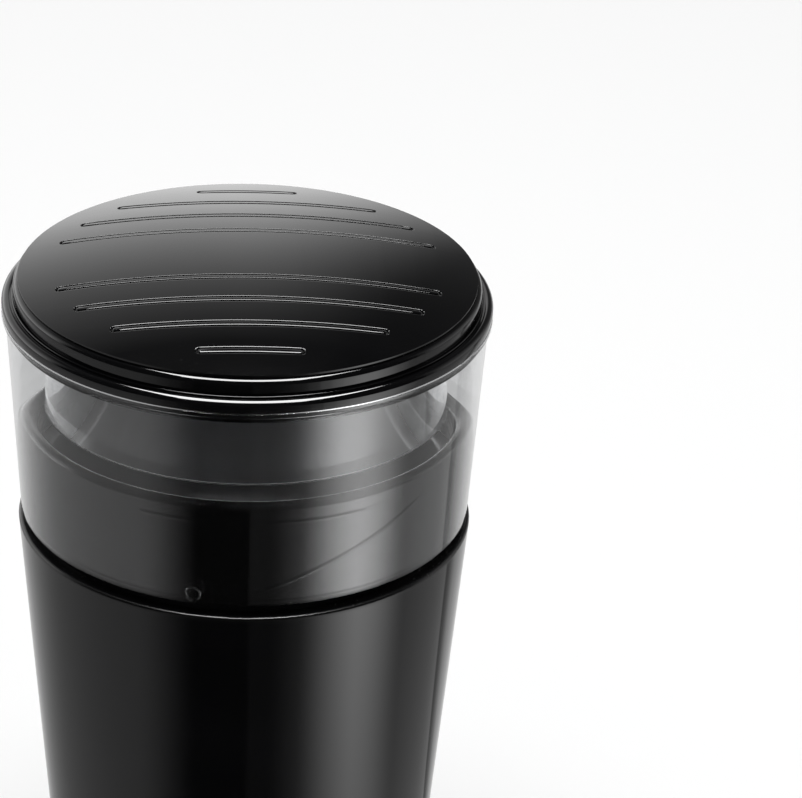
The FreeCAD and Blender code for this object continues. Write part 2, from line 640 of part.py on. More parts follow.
def coil(radius, wire, low, high, turns):
    """A spring of round wire about the Z axis, as long as the room between low and high."""
    height = high - low - 2 * wire
    helix = Part.makeHelix(height / turns, height, radius)
    start = Part.Circle(FreeCAD.Vector(radius, 0, 0), FreeCAD.Vector(0, 1, 0), wire)
    spring = Part.Wire(helix).makePipeShell([Part.Wire(start.toShape())], True, True)
    spring.translate(FreeCAD.Vector(0, 0, low + wire))
    return spring


def new_feature(name, shape):
    """A sub-part whose shape is worked out from the sheet's values."""
    node = doc.addObject("Part::Feature", name)
    node.Label = name
    node.Shape = shape
    NODES.append(node)
    return node


# Housing: a tapered shell with a ledge, a rabbet for the collar, screw posts and the cord's seat

def make_housing():
    body = new_body("housing")
    edge_height = "(ledge_height - housing_edge)"
    rabbet_radius = "(collar_radius + slide_fit)"
    turned(body, [
        ("housing_base_radius - housing_wall", "feet_height"),
        ("housing_base_radius", "feet_height"),
        (housing_radius(edge_height), edge_height),
        (f"{housing_radius(edge_height)} - housing_edge", "ledge_height", "housing_edge", "left"),
        (rabbet_radius, "ledge_height"),
        (rabbet_radius, SHELF_TOP),
        ("collar_lower_radius", SHELF_TOP),
        ("collar_lower_radius", SHELF_BOTTOM),
        (housing_inside(SHELF_BOTTOM), SHELF_BOTTOM),
    ])
    # posts over the motor carrier
    reach = f"{housing_inside(BOSS_TOP)} + boss_embed"
    post = boss(body, "carrier_screw_circle", BOSS_BOTTOM, "carrier_boss_height", reach, "carrier_turn")
    around(body, [post], "carrier_screw_count")
    hole = round_hole(body, "carrier_screw_circle", BOSS_BOTTOM, "carrier_boss_height",
                      "carrier_screw_radius + fit", "carrier_turn")
    around(body, [hole], "carrier_screw_count")
    # posts over the base cover
    reach = f"{housing_inside('(' + BASE_TOP + ' + base_boss_height)')} + boss_embed"
    post = boss(body, "base_screw_circle", BASE_TOP, "base_boss_height", reach, "base_turn")
    around(body, [post], "base_screw_count")
    hole = round_hole(body, "base_screw_circle", BASE_TOP, "base_boss_height - boss_embed",
                      "base_screw_radius + fit", "base_turn")
    around(body, [hole], "base_screw_count")
    # holes of the collar's screws, and the slot where the lid's rib reaches the slider
    hole = round_hole(body, "collar_screw_circle", SHELF_BOTTOM, "shelf_thickness",
                      "collar_screw_radius + fit", "collar_turn")
    around(body, [hole], "collar_screw_count")
    slot = rectangle(new_sketch(body, "XY_Plane", lift=SHELF_TOP),
                     "-channel_width / 2", "channel_width / 2", "channel_radius", rabbet_radius)
    pocket(body, slot, "shelf_thickness")
    # seat and hole of the cord's grommet, at the back
    seat = circle(new_sketch(body, "XZ_Plane", lift="-cord_boss_reach"), "0", "cord_height",
                  "cord_boss_radius")
    pad(body, seat, "cord_boss_thickness")
    hole = circle(new_sketch(body, "XZ_Plane", lift="-cord_boss_reach"), "0", "cord_height",
                  "cord_hole_radius")
    pocket(body, hole, "cord_boss_thickness", Reversed=True)


# Collar: the black ring that holds the bowl, with a channel at the back for the lid's rib

def make_collar():
    body = new_body("collar")
    crest = "((collar_radius - collar_inner_radius) / 2)"
    turned(body, [
        ("collar_lower_radius", SHELF_TOP),
        ("collar_radius", SHELF_TOP),
        ("collar_radius", f"rim_height - {crest}"),
        (f"collar_radius - {crest}", "rim_height", crest, "left"),
        ("collar_inner_radius", f"rim_height - {crest}", crest, "left"),
        ("collar_inner_radius", "bowl_seat_height"),
        ("collar_lower_radius", "bowl_seat_height"),
    ])
    channel = rectangle(new_sketch(body, "XY_Plane", lift="rim_height"),
                        "-channel_width / 2", "channel_width / 2", "channel_radius", "cap_radius")
    pocket(body, channel, f"rim_height - {SHELF_TOP}")
    hole = round_hole(body, "collar_screw_circle", SHELF_TOP, "collar_screw_length",
                      "collar_screw_radius + fit", "collar_turn")
    around(body, [hole], "collar_screw_count")


def make_collar_screws():
    body = new_body("collar_screws")
    first = screw(body, "collar_screw_circle", SHELF_BOTTOM, "collar_screw_length",
                  "collar_screw_radius", "small_head_radius", "small_head_height")
    around(body, [first], "collar_screw_count")
    turn_body(body, "collar_turn")


# Bowl: drawn steel with a flanged rim, a rounded corner and a neck for the shaft's seal

def make_bowl():
    body = new_body("bowl")
    corner_height = "(bowl_floor_height + bowl_corner)"
    turned(body, [
        ("neck_radius", "bowl_floor_height"),
        ("bowl_low_radius - bowl_corner", "bowl_floor_height"),
        ("bowl_low_radius", corner_height, "bowl_corner", "left"),
        ("bowl_top_radius", BOWL_RIM),
        ("bowl_rim_radius", BOWL_RIM),
        ("bowl_rim_radius", f"{BOWL_RIM} + sheet_thickness"),
        ("bowl_top_radius - sheet_thickness", f"{BOWL_RIM} + sheet_thickness"),
        ("bowl_low_radius - sheet_thickness", corner_height),
        ("bowl_low_radius - bowl_corner", "bowl_floor_height + sheet_thickness",
         "bowl_corner - sheet_thickness", "right"),
        ("neck_radius + sheet_thickness", "bowl_floor_height + sheet_thickness"),
        ("neck_radius + sheet_thickness", NECK_TOP),
        ("neck_radius", NECK_TOP),
    ])


def make_bowl_gasket():
    ring(new_body("bowl_gasket"), "collar_lower_radius", "collar_inner_radius - slide_fit",
         "bowl_seat_height", BOWL_RIM)


def make_shaft_seal():
    turned(new_body("shaft_seal"), [
        ("shaft_radius + running_fit", "bowl_floor_height"),
        ("neck_radius - fit", "bowl_floor_height"),
        ("neck_radius - fit", NECK_TOP),
        ("seal_flange_radius", NECK_TOP),
        ("seal_flange_radius", f"{NECK_TOP} + seal_flange_thickness"),
        ("shaft_radius + running_fit", f"{NECK_TOP} + seal_flange_thickness"),
    ])


# Blade: a flat hub with two wings that twist and rise towards their tips, ground on one edge

WING_STEPS = 8
# The loft runs past the tip, which a cylinder then rounds off
WING_OVERRUN = 1.2


def wing_section(reach, share):
    """The wing's outline at a distance from the axis; share runs from 0 at the hub to 1 at the tip."""
    root, tip = value("blade_root_width"), value("blade_tip_width")
    half = (root + share * (tip - root)) / 2
    thick = value("blade_thickness")
    flat = half - value("blade_bevel")
    ground = value("blade_edge_thickness")
    corners = [(-half, 0.0), (half, 0.0), (half, ground), (flat, thick), (-half, thick)]
    turn = math.radians(value("blade_twist") * share)
    lift = value("blade_height") + value("blade_rise") * share ** 2
    points = []
    for across, up in corners:
        side = across * math.cos(turn) - up * math.sin(turn)
        height = across * math.sin(turn) + up * math.cos(turn)
        points.append(FreeCAD.Vector(reach, side, height + lift))
    return Part.makePolygon(points + points[:1])


def make_blade():
    hub, reach = value("blade_hub_radius"), value("blade_reach")
    low, thick = value("blade_height"), value("blade_thickness")
    rise = value("blade_rise")
    sections = [wing_section(hub / 2, 0.0)]
    for step in range(WING_STEPS + 1):
        share = step / WING_STEPS
        sections.append(wing_section(hub + share * (reach + WING_OVERRUN - hub), share))
    wing = Part.makeLoft(sections, True, True)
    other = wing.copy()
    other.rotate(FreeCAD.Vector(), UP, 180)
    blade = Part.makeCylinder(hub, thick, FreeCAD.Vector(0, 0, low)).fuse([wing, other])
    sweep = Part.makeCylinder(reach, 4 * (rise + thick), FreeCAD.Vector(0, 0, low - 2 * rise))
    hole_radius = value("shaft_tip_radius + fit")
    hole = Part.makeCylinder(hole_radius, 2 * thick, FreeCAD.Vector(0, 0, low - thick / 2))
    new_feature("blade", blade.common(sweep).cut(hole).removeSplitter())


def make_blade_washer():
    ring(new_body("blade_washer"), "shaft_radius + fit", "washer_radius",
         "blade_height - washer_thickness", "blade_height")


def make_blade_nut():
    body = new_body("blade_nut")
    seat = "(blade_height + blade_thickness)"
    crown = f"({seat} + nut_thickness)"
    corner = "nut_width / (2 * cos(30 deg))"
    points = []
    for step in range(6):
        points.append((f"{corner} * cos({60 * step + 30} deg)", f"{corner} * sin({60 * step + 30} deg)"))
    pad(body, outline(new_sketch(body, "XY_Plane", lift=seat), points), "nut_thickness")
    half = "(nut_width / 2)"
    turned(body, [
        ("0", crown),
        (half, crown),
        ("0", f"{crown} + nut_dome", f"({half} ^ 2 + nut_dome ^ 2) / (2 * nut_dome)", "left"),
    ])
    hole = circle(new_sketch(body, "XY_Plane", lift=seat), "0", "0", "shaft_tip_radius + fit")
    pocket(body, hole, "thread_engagement + slide_fit", Reversed=True)


# Lid: a clear sleeve with its web, inner skirt and switch rib in one moulding, under a black cap

def make_lid_sleeve():
    body = new_body("lid_sleeve")
    web_low = "(cap_height - web_thickness)"
    edge_top = f"({SLEEVE_BOTTOM} + sleeve_edge)"
    turned(body, [
        ("sleeve_low_radius - sleeve_wall", SLEEVE_BOTTOM),
        ("sleeve_low_radius - sleeve_edge", SLEEVE_BOTTOM),
        (sleeve_radius(edge_top), edge_top, "sleeve_edge", "left"),
        ("sleeve_top_radius", "cap_height"),
        ("skirt_radius - skirt_wall", "cap_height"),
        ("skirt_radius - skirt_wall", "skirt_bottom"),
        ("skirt_radius", "skirt_bottom"),
        ("skirt_radius", web_low),
        (f"{sleeve_radius(web_low)} - sleeve_wall", web_low),
    ])
    rib = outline(new_sketch(body, "YZ_Plane"), [
        ("rib_radius", "rib_bottom"),
        ("rib_foot_radius", "rib_bottom"),
        ("rib_foot_radius", edge_top),
        (f"{sleeve_radius(edge_top)} - sleeve_wall / 2", edge_top),
        (f"{sleeve_radius('rib_top')} - sleeve_wall / 2", "rib_top"),
        ("rib_radius", "rib_top"),
    ])
    pad(body, rib, "rib_width", SideType="Symmetric")


def make_lid_cap():
    form = doc.addObject("PartDesign::Body", "cap_form")
    sphere = "(cap_height + dome_height - dome_radius)"
    inset = "(disc_radius - disc_edge)"
    # where the rounded edge runs into the dome
    spread = "(dome_radius / (dome_radius - disc_edge))"
    edge_middle = f"({sphere} + sqrt((dome_radius - disc_edge) ^ 2 - {inset} ^ 2))"
    under = "(dome_radius - cap_wall)"
    plug_radius = "(skirt_radius - skirt_wall - slide_fit)"
    plug_inner = f"({plug_radius} - plug_wall)"
    rim_top = "(cap_height + rim_thickness)"
    turned(form, [
        ("recess_outer_radius", "cap_height"),
        ("cap_radius", "cap_height"),
        ("cap_radius", f"{rim_top} - rim_round"),
        ("cap_radius - rim_round", rim_top, "rim_round", "left"),
        ("disc_radius + rim_groove_width", rim_top),
        ("disc_radius + rim_groove_width", f"{rim_top} - rim_groove_depth"),
        ("disc_radius", f"{rim_top} - rim_groove_depth"),
        ("disc_radius", edge_middle),
        (f"{inset} * {spread}", f"{sphere} + ({edge_middle} - {sphere}) * {spread}", "disc_edge", "left"),
        ("0", "cap_height + dome_height", "dome_radius", "left"),
        ("0", "cap_height + dome_height - cap_wall"),
        (plug_inner, f"{sphere} + sqrt({under} ^ 2 - {plug_inner} ^ 2)", under, "right"),
        (plug_inner, "cap_height - plug_depth"),
        (plug_radius, "cap_height - plug_depth"),
        (plug_radius, "cap_height"),
        ("recess_inner_radius", "cap_height"),
        ("recess_inner_radius", "cap_height + recess_depth"),
        ("recess_outer_radius", "cap_height + recess_depth"),
    ])
    # the lines are slots that end on one circle, and their floor follows the dome
    slots = doc.addObject("PartDesign::Body", "cap_slots")
    lines = []
    for step in range(int(value("groove_count"))):
        place = f"(groove_first + {step} * groove_pitch)"
        tip = f"sqrt(groove_circle ^ 2 - {place} ^ 2)"
        line = stadium(new_sketch(slots, "XY_Plane", lift="cap_height", rise=place),
                       f"-{tip}", tip, "groove_width / 2")
        lines.append(pad(slots, line, "2 * dome_height"))
    opposite(slots, lines, "XZ_Plane")
    turn_body(slots, "groove_angle")
    floor = doc.addObject("Part::Sphere", "cap_groove_floor")
    bind(floor, Radius="dome_radius - groove_depth", Placement__Base__z=sphere)
    lines_over_floor = doc.addObject("Part::Cut", "cap_lines")
    lines_over_floor.Base = slots
    lines_over_floor.Tool = floor
    cap = doc.addObject("Part::Cut", "lid_cap")
    cap.Base = form
    cap.Tool = lines_over_floor
    cap.Label = "lid_cap"
    NODES.append(cap)


# Motor carrier: the plate under the bowl that the motor and the switch hang from

def make_motor_carrier():
    body = new_body("motor_carrier")
    bearing_top = "(carrier_hub_bottom + bearing_lift + bearing_width)"
    turned(body, [
        ("bearing_radius + fit", "carrier_hub_bottom"),
        ("carrier_hub_radius", "carrier_hub_bottom"),
        ("carrier_hub_radius", "carrier_height"),
        ("carrier_radius", "carrier_height"),
        ("carrier_radius", CARRIER_TOP),
        ("carrier_hub_radius", CARRIER_TOP),
        ("carrier_hub_radius", "bowl_floor_height"),
        ("shaft_hole_radius", "bowl_floor_height"),
        ("shaft_hole_radius", bearing_top),
        ("bearing_radius + fit", bearing_top),
    ])
    leg = circle(new_sketch(body, "XY_Plane", lift=CORE_TOP, turn="bolt_angle"),
                 "bolt_circle", "0", "leg_radius")
    around(body, [pad(body, leg, f"carrier_height - {CORE_TOP}")], "2")
    hole = round_hole(body, "bolt_circle", CORE_TOP, "bolt_grip + fit", "bolt_radius + fit", "bolt_angle")
    around(body, [hole], "2")
    hole = round_hole(body, "carrier_screw_circle", "carrier_height", "carrier_thickness",
                      "carrier_hole_radius", "carrier_turn")
    around(body, [hole], "carrier_screw_count")
    sketch = new_sketch(body, "XY_Plane", lift="carrier_height")
    circle(sketch, "bracket_screw_spacing / 2", "bracket_screw_place", "carrier_screw_radius + fit")
    circle(sketch, "-bracket_screw_spacing / 2", "bracket_screw_place", "carrier_screw_radius + fit")
    pocket(body, sketch, "carrier_thickness", Reversed=True)


def make_vibration_isolators():
    body = new_body("vibration_isolators")
    first = ring(body, "carrier_screw_radius + fit", "isolator_radius", CARRIER_TOP, BOSS_BOTTOM,
                 "carrier_screw_circle")
    around(body, [first], "carrier_screw_count")
    turn_body(body, "carrier_turn")


def make_carrier_screws():
    body = new_body("carrier_screws")
    first = screw(body, "carrier_screw_circle", "carrier_height", "carrier_screw_length",
                  "carrier_screw_radius", "head_radius", "head_height")
    around(body, [first], "carrier_screw_count")
    turn_body(body, "carrier_turn")


# Motor: a two-pole wound stator, a slotted armature, its commutator, brushes, bearings and fan

def make_upper_bearing():
    low = "(carrier_hub_bottom + bearing_lift)"
    high = f"({low} + bearing_width)"
    inner = "(shaft_radius + running_fit)"
    race = "bearing_race"
    sink = "bearing_sink"
    turned(new_body("upper_bearing"), [
        (inner, low),
        (f"{inner} + {race}", low),
        (f"{inner} + {race}", f"{low} + {sink}"),
        (f"bearing_radius - {race}", f"{low} + {sink}"),
        (f"bearing_radius - {race}", low),
        ("bearing_radius", low),
        ("bearing_radius", high),
        (f"bearing_radius - {race}", high),
        (f"bearing_radius - {race}", f"{high} - {sink}"),
        (f"{inner} + {race}", f"{high} - {sink}"),
        (f"{inner} + {race}", high),
        (inner, high),
    ])


def make_lower_bearing():
    ring(new_body("lower_bearing"), "shaft_radius + running_fit", "bush_radius",
         "bush_bottom", BRUSH_PLATE_BOTTOM)


def make_lower_bracket():
    body = new_body("lower_bracket")
    bar = stadium(new_sketch(body, "XY_Plane", lift="bracket_bottom"),
                  "-bolt_circle - bracket_width / 2", "bolt_circle + bracket_width / 2",
                  "bracket_width / 2")
    pad(body, bar, "bracket_thickness")
    hub = circle(new_sketch(body, "XY_Plane", lift="bush_bottom"), "0", "0", "bush_hub_radius")
    pad(body, hub, "bush_length")
    leg = circle(new_sketch(body, "XY_Plane", lift="bracket_bottom"), "bolt_circle", "0", "leg_radius")
    around(body, [pad(body, leg, "core_bottom - bracket_bottom")], "2")
    round_hole(body, "0", "bush_bottom", "bush_length", "bush_radius + fit")
    hole = round_hole(body, "bolt_circle", "bracket_bottom", "core_bottom - bracket_bottom",
                      "bolt_hole_radius")
    around(body, [hole], "2")
    turn_body(body, "bolt_angle")


def make_motor_screws():
    body = new_body("motor_screws")
    first = screw(body, "bolt_circle", "bracket_bottom", f"{CORE_TOP} + bolt_grip - bracket_bottom",
                  "bolt_radius", "head_radius", "head_height")
    around(body, [first], "2")
    turn_body(body, "bolt_angle")


def make_stator_core():
    body = new_body("stator_core")
    bore = "(armature_radius + air_gap)"
    shoe = f"({bore} + pole_shoe)"
    sketch = new_sketch(body, "XY_Plane", lift="core_bottom")
    rounded_rectangle(sketch, "stator_half_length", "-stator_half_width", "stator_half_width",
                      "stator_corner")
    rectangle(sketch, "-(stator_half_length - yoke)", "stator_half_length - yoke",
              "-(stator_half_width - yoke)", "stator_half_width - yoke")
    pad(body, sketch, "core_length")
    neck = pad(body, rectangle(new_sketch(body, "XY_Plane", lift="core_bottom"),
                               f"{bore} + pole_shoe / 2", "stator_half_length - yoke / 2",
                               "-pole_neck", "pole_neck"), "core_length")
    pole = outline(new_sketch(body, "XY_Plane", lift="core_bottom"), [
        (f"{bore} * cos(shoe_angle)", f"-{bore} * sin(shoe_angle)", bore, "right"),
        (f"{shoe} * cos(shoe_angle)", f"-{shoe} * sin(shoe_angle)"),
        (f"{shoe} * cos(shoe_angle)", f"{shoe} * sin(shoe_angle)", shoe, "left"),
        (f"{bore} * cos(shoe_angle)", f"{bore} * sin(shoe_angle)"),
    ])
    opposite(body, [neck, pad(body, pole, "core_length")], "YZ_Plane")
    hole = round_hole(body, "bolt_circle", "core_bottom", "core_length", "bolt_hole_radius", "bolt_angle")
    around(body, [hole], "2")


def rounded_rectangle(sketch, half_width, low, high, corner):
    """A rectangle with round corners, centred across X."""
    return outline(sketch, [
        (f"-{half_width} + {corner}", low, corner, "left"),
        (f"{half_width} - {corner}", low),
        (half_width, f"{low} + {corner}", corner, "left"),
        (half_width, f"{high} - {corner}"),
        (f"{half_width} - {corner}", high, corner, "left"),
        (f"-{half_width} + {corner}", high),
        (f"-{half_width}", f"{high} - {corner}", corner, "left"),
        (f"-{half_width}", f"{low} + {corner}"),
    ])


def make_field_coils():
    body = new_body("field_coils")
    inside = "(pole_neck + wire_clearance)"
    low, high = "(core_bottom - wire_clearance)", f"({CORE_TOP} + wire_clearance)"
    start = "armature_radius + air_gap + pole_shoe + wire_clearance"
    sketch = new_sketch(body, "YZ_Plane", lift=start)
    rounded_rectangle(sketch, f"({inside} + coil_side)", f"({low} - coil_end)", f"({high} + coil_end)",
                      "coil_round")
    rectangle(sketch, f"-{inside}", inside, low, high)
    opposite(body, [pad(body, sketch, "coil_width")], "YZ_Plane")


def make_shaft():
    tip = "blade_height + blade_thickness + thread_engagement"
    turned(new_body("shaft"), [
        ("0", "shaft_bottom"),
        ("shaft_radius", "shaft_bottom"),
        ("shaft_radius", "blade_height"),
        ("shaft_tip_radius", "blade_height"),
        ("shaft_tip_radius", tip),
        ("0", tip),
    ])


def make_armature_core():
    body = new_body("armature_core")
    ring(body, "shaft_radius + fit", "armature_radius", "core_bottom", CORE_TOP)
    neck = "(armature_radius - tooth_lip)"
    half = "(slot_width / 2)"
    slot = outline(new_sketch(body, "XY_Plane", lift="core_bottom"), [
        ("armature_radius + tooth_lip", "-slot_mouth / 2"),
        ("armature_radius + tooth_lip", "slot_mouth / 2"),
        (neck, "slot_mouth / 2"),
        (neck, half),
        (f"slot_floor + {half}", half),
        ("slot_floor", "0", half, "left"),
        (f"slot_floor + {half}", f"-{half}", half, "left"),
        (neck, f"-{half}"),
        (neck, "-slot_mouth / 2"),
    ])
    around(body, [pocket(body, slot, "core_length", Reversed=True)], "slot_count")


def make_armature_windings():
    body = new_body("armature_windings")
    inner = "shaft_radius + winding_inset"
    low, high = "(core_bottom - wire_clearance)", f"({CORE_TOP} + wire_clearance)"
    ring(body, inner, "winding_radius", high, f"{high} + winding_height")
    bar = circle(new_sketch(body, "XY_Plane", lift=f"{low} - winding_height / 2"),
                 "slot_floor + slot_width / 2", "0", "slot_width / 2 - wire_clearance")
    bars = pad(body, bar, "core_length + 2 * wire_clearance + winding_height")
    around(body, [bars], "slot_count")
    ring(body, inner, "winding_radius", f"{low} - winding_height", low)


def make_commutator():
    body = new_body("commutator")
    turned(body, [
        ("shaft_radius + fit", "commutator_bottom"),
        ("commutator_radius", "commutator_bottom"),
        ("commutator_radius", f"{COMMUTATOR_TOP} - riser_height"),
        ("riser_radius", f"{COMMUTATOR_TOP} - riser_height"),
        ("riser_radius", COMMUTATOR_TOP),
        ("shaft_radius + fit", COMMUTATOR_TOP),
    ])
    gap = rectangle(new_sketch(body, "XY_Plane", lift="commutator_bottom"),
                    "commutator_radius - bar_depth", "riser_radius + bar_depth",
                    "-bar_gap / 2", "bar_gap / 2")
    around(body, [pocket(body, gap, "commutator_length", Reversed=True)], "slot_count")


def make_cooling_fan():
    body = new_body("cooling_fan")
    disc_top = "(fan_bottom + fan_disc)"
    turned(body, [
        ("shaft_radius + fit", "fan_bottom"),
        ("fan_radius", "fan_bottom"),
        ("fan_radius", disc_top),
        ("fan_hub_radius", disc_top),
        ("fan_hub_radius", "fan_bottom + fan_height"),
        ("shaft_radius + fit", "fan_bottom + fan_height"),
    ])
    vane = rectangle(new_sketch(body, "XY_Plane", lift="fan_bottom + fan_disc / 2"),
                     "fan_hub_radius - fan_blade / 2", "fan_radius - fan_blade",
                     "-fan_blade / 2", "fan_blade / 2")
    around(body, [pad(body, vane, "fan_height - fan_disc / 2")], "fan_count")


def make_brush_plate():
    ring(new_body("brush_plate"), "shaft_hole_radius", "brush_plate_radius",
         BRUSH_PLATE_BOTTOM, BRUSH_PLATE_TOP)


def make_brush_holders():
    body = new_body("brush_holders")
    top = "(brush_bottom + brush_height + fit)"
    block = rectangle(new_sketch(body, "YZ_Plane"), "holder_start", "holder_end",
                      BRUSH_PLATE_TOP, f"{top} + holder_wall")
    block = pad(body, block, "brush_width + 2 * fit + 2 * holder_wall", SideType="Symmetric")
    room = rectangle(new_sketch(body, "YZ_Plane"), "holder_start - holder_wall",
                     "holder_end - holder_wall", "brush_bottom - fit", top)
    room = pocket(body, room, "brush_width + 2 * fit", SideType="Symmetric")
    opposite(body, [block, room], "XZ_Plane")


def make_carbon_brushes():
    body = new_body("carbon_brushes")
    start = "(commutator_radius + fit)"
    brush = rectangle(new_sketch(body, "YZ_Plane"), start, f"{start} + brush_length",
                      "brush_bottom", "brush_bottom + brush_height")
    opposite(body, [pad(body, brush, "brush_width", SideType="Symmetric")], "XZ_Plane")


def make_brush_springs():
    near = value("commutator_radius + fit + brush_length")
    far = value("holder_end - holder_wall")
    first = coil(value("brush_spring_radius"), value("spring_wire"), near, far,
                 value("brush_spring_turns"))
    first.rotate(FreeCAD.Vector(), FreeCAD.Vector(1, 0, 0), -90)
    first.translate(FreeCAD.Vector(0, 0, value("brush_bottom + brush_height / 2")))
    second = first.copy()
    second.rotate(FreeCAD.Vector(), UP, 180)
    new_feature("brush_springs", Part.makeCompound([first, second]))


# Switch: the lid's rib pushes a sprung slider, whose foot works the button of a small switch

def make_push_slider():
    body = new_body("push_slider")
    stem_outer = "(stem_inner + stem_thickness)"
    head_outer = "(rib_radius + slider_thickness)"
    head_top = "(rib_bottom - slider_gap)"
    side = outline(new_sketch(body, "YZ_Plane"), [
        ("foot_inner", FOOT_BOTTOM),
        (stem_outer, FOOT_BOTTOM),
        (stem_outer, "slider_shoulder - slider_step"),
        (head_outer, "slider_shoulder - slider_step"),
        (head_outer, head_top),
        ("rib_radius", head_top),
        ("rib_radius", "slider_shoulder"),
        ("stem_inner", "slider_shoulder"),
        ("stem_inner", FOOT_TOP),
        ("foot_inner", FOOT_TOP),
    ])
    pad(body, side, "slider_width", SideType="Symmetric")


def make_return_spring():
    spring = coil(value("spring_radius"), value("spring_wire"), value("spring_seat"),
                  value(FOOT_BOTTOM), value("spring_turns"))
    spring.translate(FreeCAD.Vector(0, value("spring_place"), 0))
    new_feature("return_spring", spring)


def two_across(body, half_spacing, height, radius, depth):
    """Two holes along Y, side by side across X, cut through the body."""
    sketch = new_sketch(body, "XZ_Plane")
    circle(sketch, half_spacing, height, radius)
    circle(sketch, f"-{half_spacing}", height, radius)
    pocket(body, sketch, depth, SideType="Symmetric")


def make_switch_body():
    body = new_body("switch_body")
    block = rectangle(new_sketch(body, "XY_Plane", lift=SWITCH_BOTTOM), "-switch_length / 2",
                      "switch_length / 2", "switch_inner", SWITCH_OUTER)
    pad(body, block, "switch_tall")
    room = circle(new_sketch(body, "XY_Plane", lift=SWITCH_TOP), "0", "switch_inner + switch_depth / 2",
                  "button_radius + fit")
    pocket(body, room, "button_length - switch_drop + press_travel + slide_fit")
    two_across(body, "switch_screw_spacing / 2", f"{SWITCH_BOTTOM} + switch_screw_lift",
               "switch_screw_radius + fit", f"3 * {SWITCH_OUTER}")


def make_switch_button():
    body = new_body("switch_button")
    button = circle(new_sketch(body, "XY_Plane", lift=f"{FOOT_BOTTOM} - slider_gap"), "0",
                    "switch_inner + switch_depth / 2", "button_radius")
    pad(body, button, "button_length", Reversed=True)


def make_switch_terminals():
    body = new_body("switch_terminals")
    sketch = new_sketch(body, "XY_Plane", lift=SWITCH_BOTTOM)
    middle = "(switch_inner + switch_depth / 2)"
    for place in ("-terminal_pitch", "0", "terminal_pitch"):
        rectangle(sketch, f"{place} - terminal_thickness / 2", f"{place} + terminal_thickness / 2",
                  f"{middle} - terminal_width / 2", f"{middle} + terminal_width / 2")
    pad(body, sketch, "terminal_length", Reversed=True)


def make_switch_bracket():
    body = new_body("switch_bracket")
    backplate_inner = f"({SWITCH_OUTER} + slide_fit)"
    flange_low = "(carrier_height - flange_thickness)"
    side = outline(new_sketch(body, "YZ_Plane"), [
        (backplate_inner, "backplate_bottom"),
        (BACKPLATE_OUTER, "backplate_bottom"),
        (BACKPLATE_OUTER, "carrier_height"),
        ("switch_inner", "carrier_height"),
        ("switch_inner", flange_low),
        (backplate_inner, flange_low),
    ])
    pad(body, side, "backplate_width", SideType="Symmetric")
    notch = rectangle(new_sketch(body, "YZ_Plane"), "foot_inner - switch_depth",
                      f"{BACKPLATE_OUTER} + fit", f"{FOOT_BOTTOM} - press_travel - slide_fit",
                      "carrier_height + fit")
    pocket(body, notch, "backplate_notch", SideType="Symmetric")
    shelf = rectangle(new_sketch(body, "YZ_Plane"), f"{BACKPLATE_OUTER} - backplate_thickness / 2",
                      "spring_place + spring_radius + spring_wire + fit", "spring_seat - spring_shelf",
                      "spring_seat")
    pad(body, shelf, "slider_width", SideType="Symmetric")
    pin = circle(new_sketch(body, "XY_Plane", lift="spring_seat - spring_shelf / 2"), "0",
                 "spring_place", "spring_pin_radius")
    pad(body, pin, "spring_pin_height + spring_shelf / 2")
    two_across(body, "switch_screw_spacing / 2", f"{SWITCH_BOTTOM} + switch_screw_lift",
               "switch_screw_radius + fit", f"3 * {BACKPLATE_OUTER}")
    sketch = new_sketch(body, "XY_Plane", lift=flange_low)
    circle(sketch, "bracket_screw_spacing / 2", "bracket_screw_place", "carrier_screw_radius + fit")
    circle(sketch, "-bracket_screw_spacing / 2", "bracket_screw_place", "carrier_screw_radius + fit")
    pocket(body, sketch, "flange_thickness", Reversed=True)


def make_switch_screws():
    body = new_body("switch_screws")
    first = screw(body, "switch_screw_spacing / 2", "switch_inner", "switch_screw_length",
                  "switch_screw_radius", "head_radius", "head_height")
    opposite(body, [first], "YZ_Plane")
    lay_along_y(body, f"{SWITCH_BOTTOM} + switch_screw_lift")


def lay_along_y(body, height):
    """Turn a body made along Z so that it points along Y, at a height."""
    body.Placement = FreeCAD.Placement(FreeCAD.Vector(), FreeCAD.Rotation(FreeCAD.Vector(1, 0, 0), -90))
    bind(body, Placement__Base__z=height)


def make_bracket_screws():
    body = new_body("bracket_screws")
    first = screw(body, "bracket_screw_spacing / 2", CARRIER_TOP, "carrier_thickness + bracket_grip",
                  "carrier_screw_radius", "head_radius", "head_height", "down")
    opposite(body, [first], "YZ_Plane")
    bind(body, Placement__Base__y="bracket_screw_place")


# Base: a cover with air slots, its screws, rubber feet and the cord's grommet

def make_base_cover():
    body = new_body("base_cover")
    radius = f"{housing_inside('feet_height')} - slide_fit"
    turned(body, [
        ("0", "feet_height"),
        (radius, "feet_height"),
        (radius, BASE_TOP),
        ("base_lip_radius", BASE_TOP),
        ("base_lip_radius", f"{BASE_TOP} + base_lip_height"),
        ("base_lip_radius - base_lip_wall", f"{BASE_TOP} + base_lip_height"),
        ("base_lip_radius - base_lip_wall", BASE_TOP),
        ("0", BASE_TOP),
    ])
    vent = stadium(new_sketch(body, "XY_Plane", lift="feet_height"), "vent_inner", "vent_outer",
                   "vent_width / 2")
    around(body, [pocket(body, vent, "base_thickness", Reversed=True)], "vent_count")
    hole = round_hole(body, "base_screw_circle", "feet_height", "base_thickness",
                      "base_screw_radius + fit", "base_turn")
    around(body, [hole], "base_screw_count")
    sink = round_hole(body, "base_screw_circle", "feet_height", "base_recess",
                      "head_radius + slide_fit", "base_turn")
    around(body, [sink], "base_screw_count")
    hole = round_hole(body, "foot_circle", "feet_height", "base_thickness", "foot_plug_radius + fit")
    around(body, [hole], "foot_count")


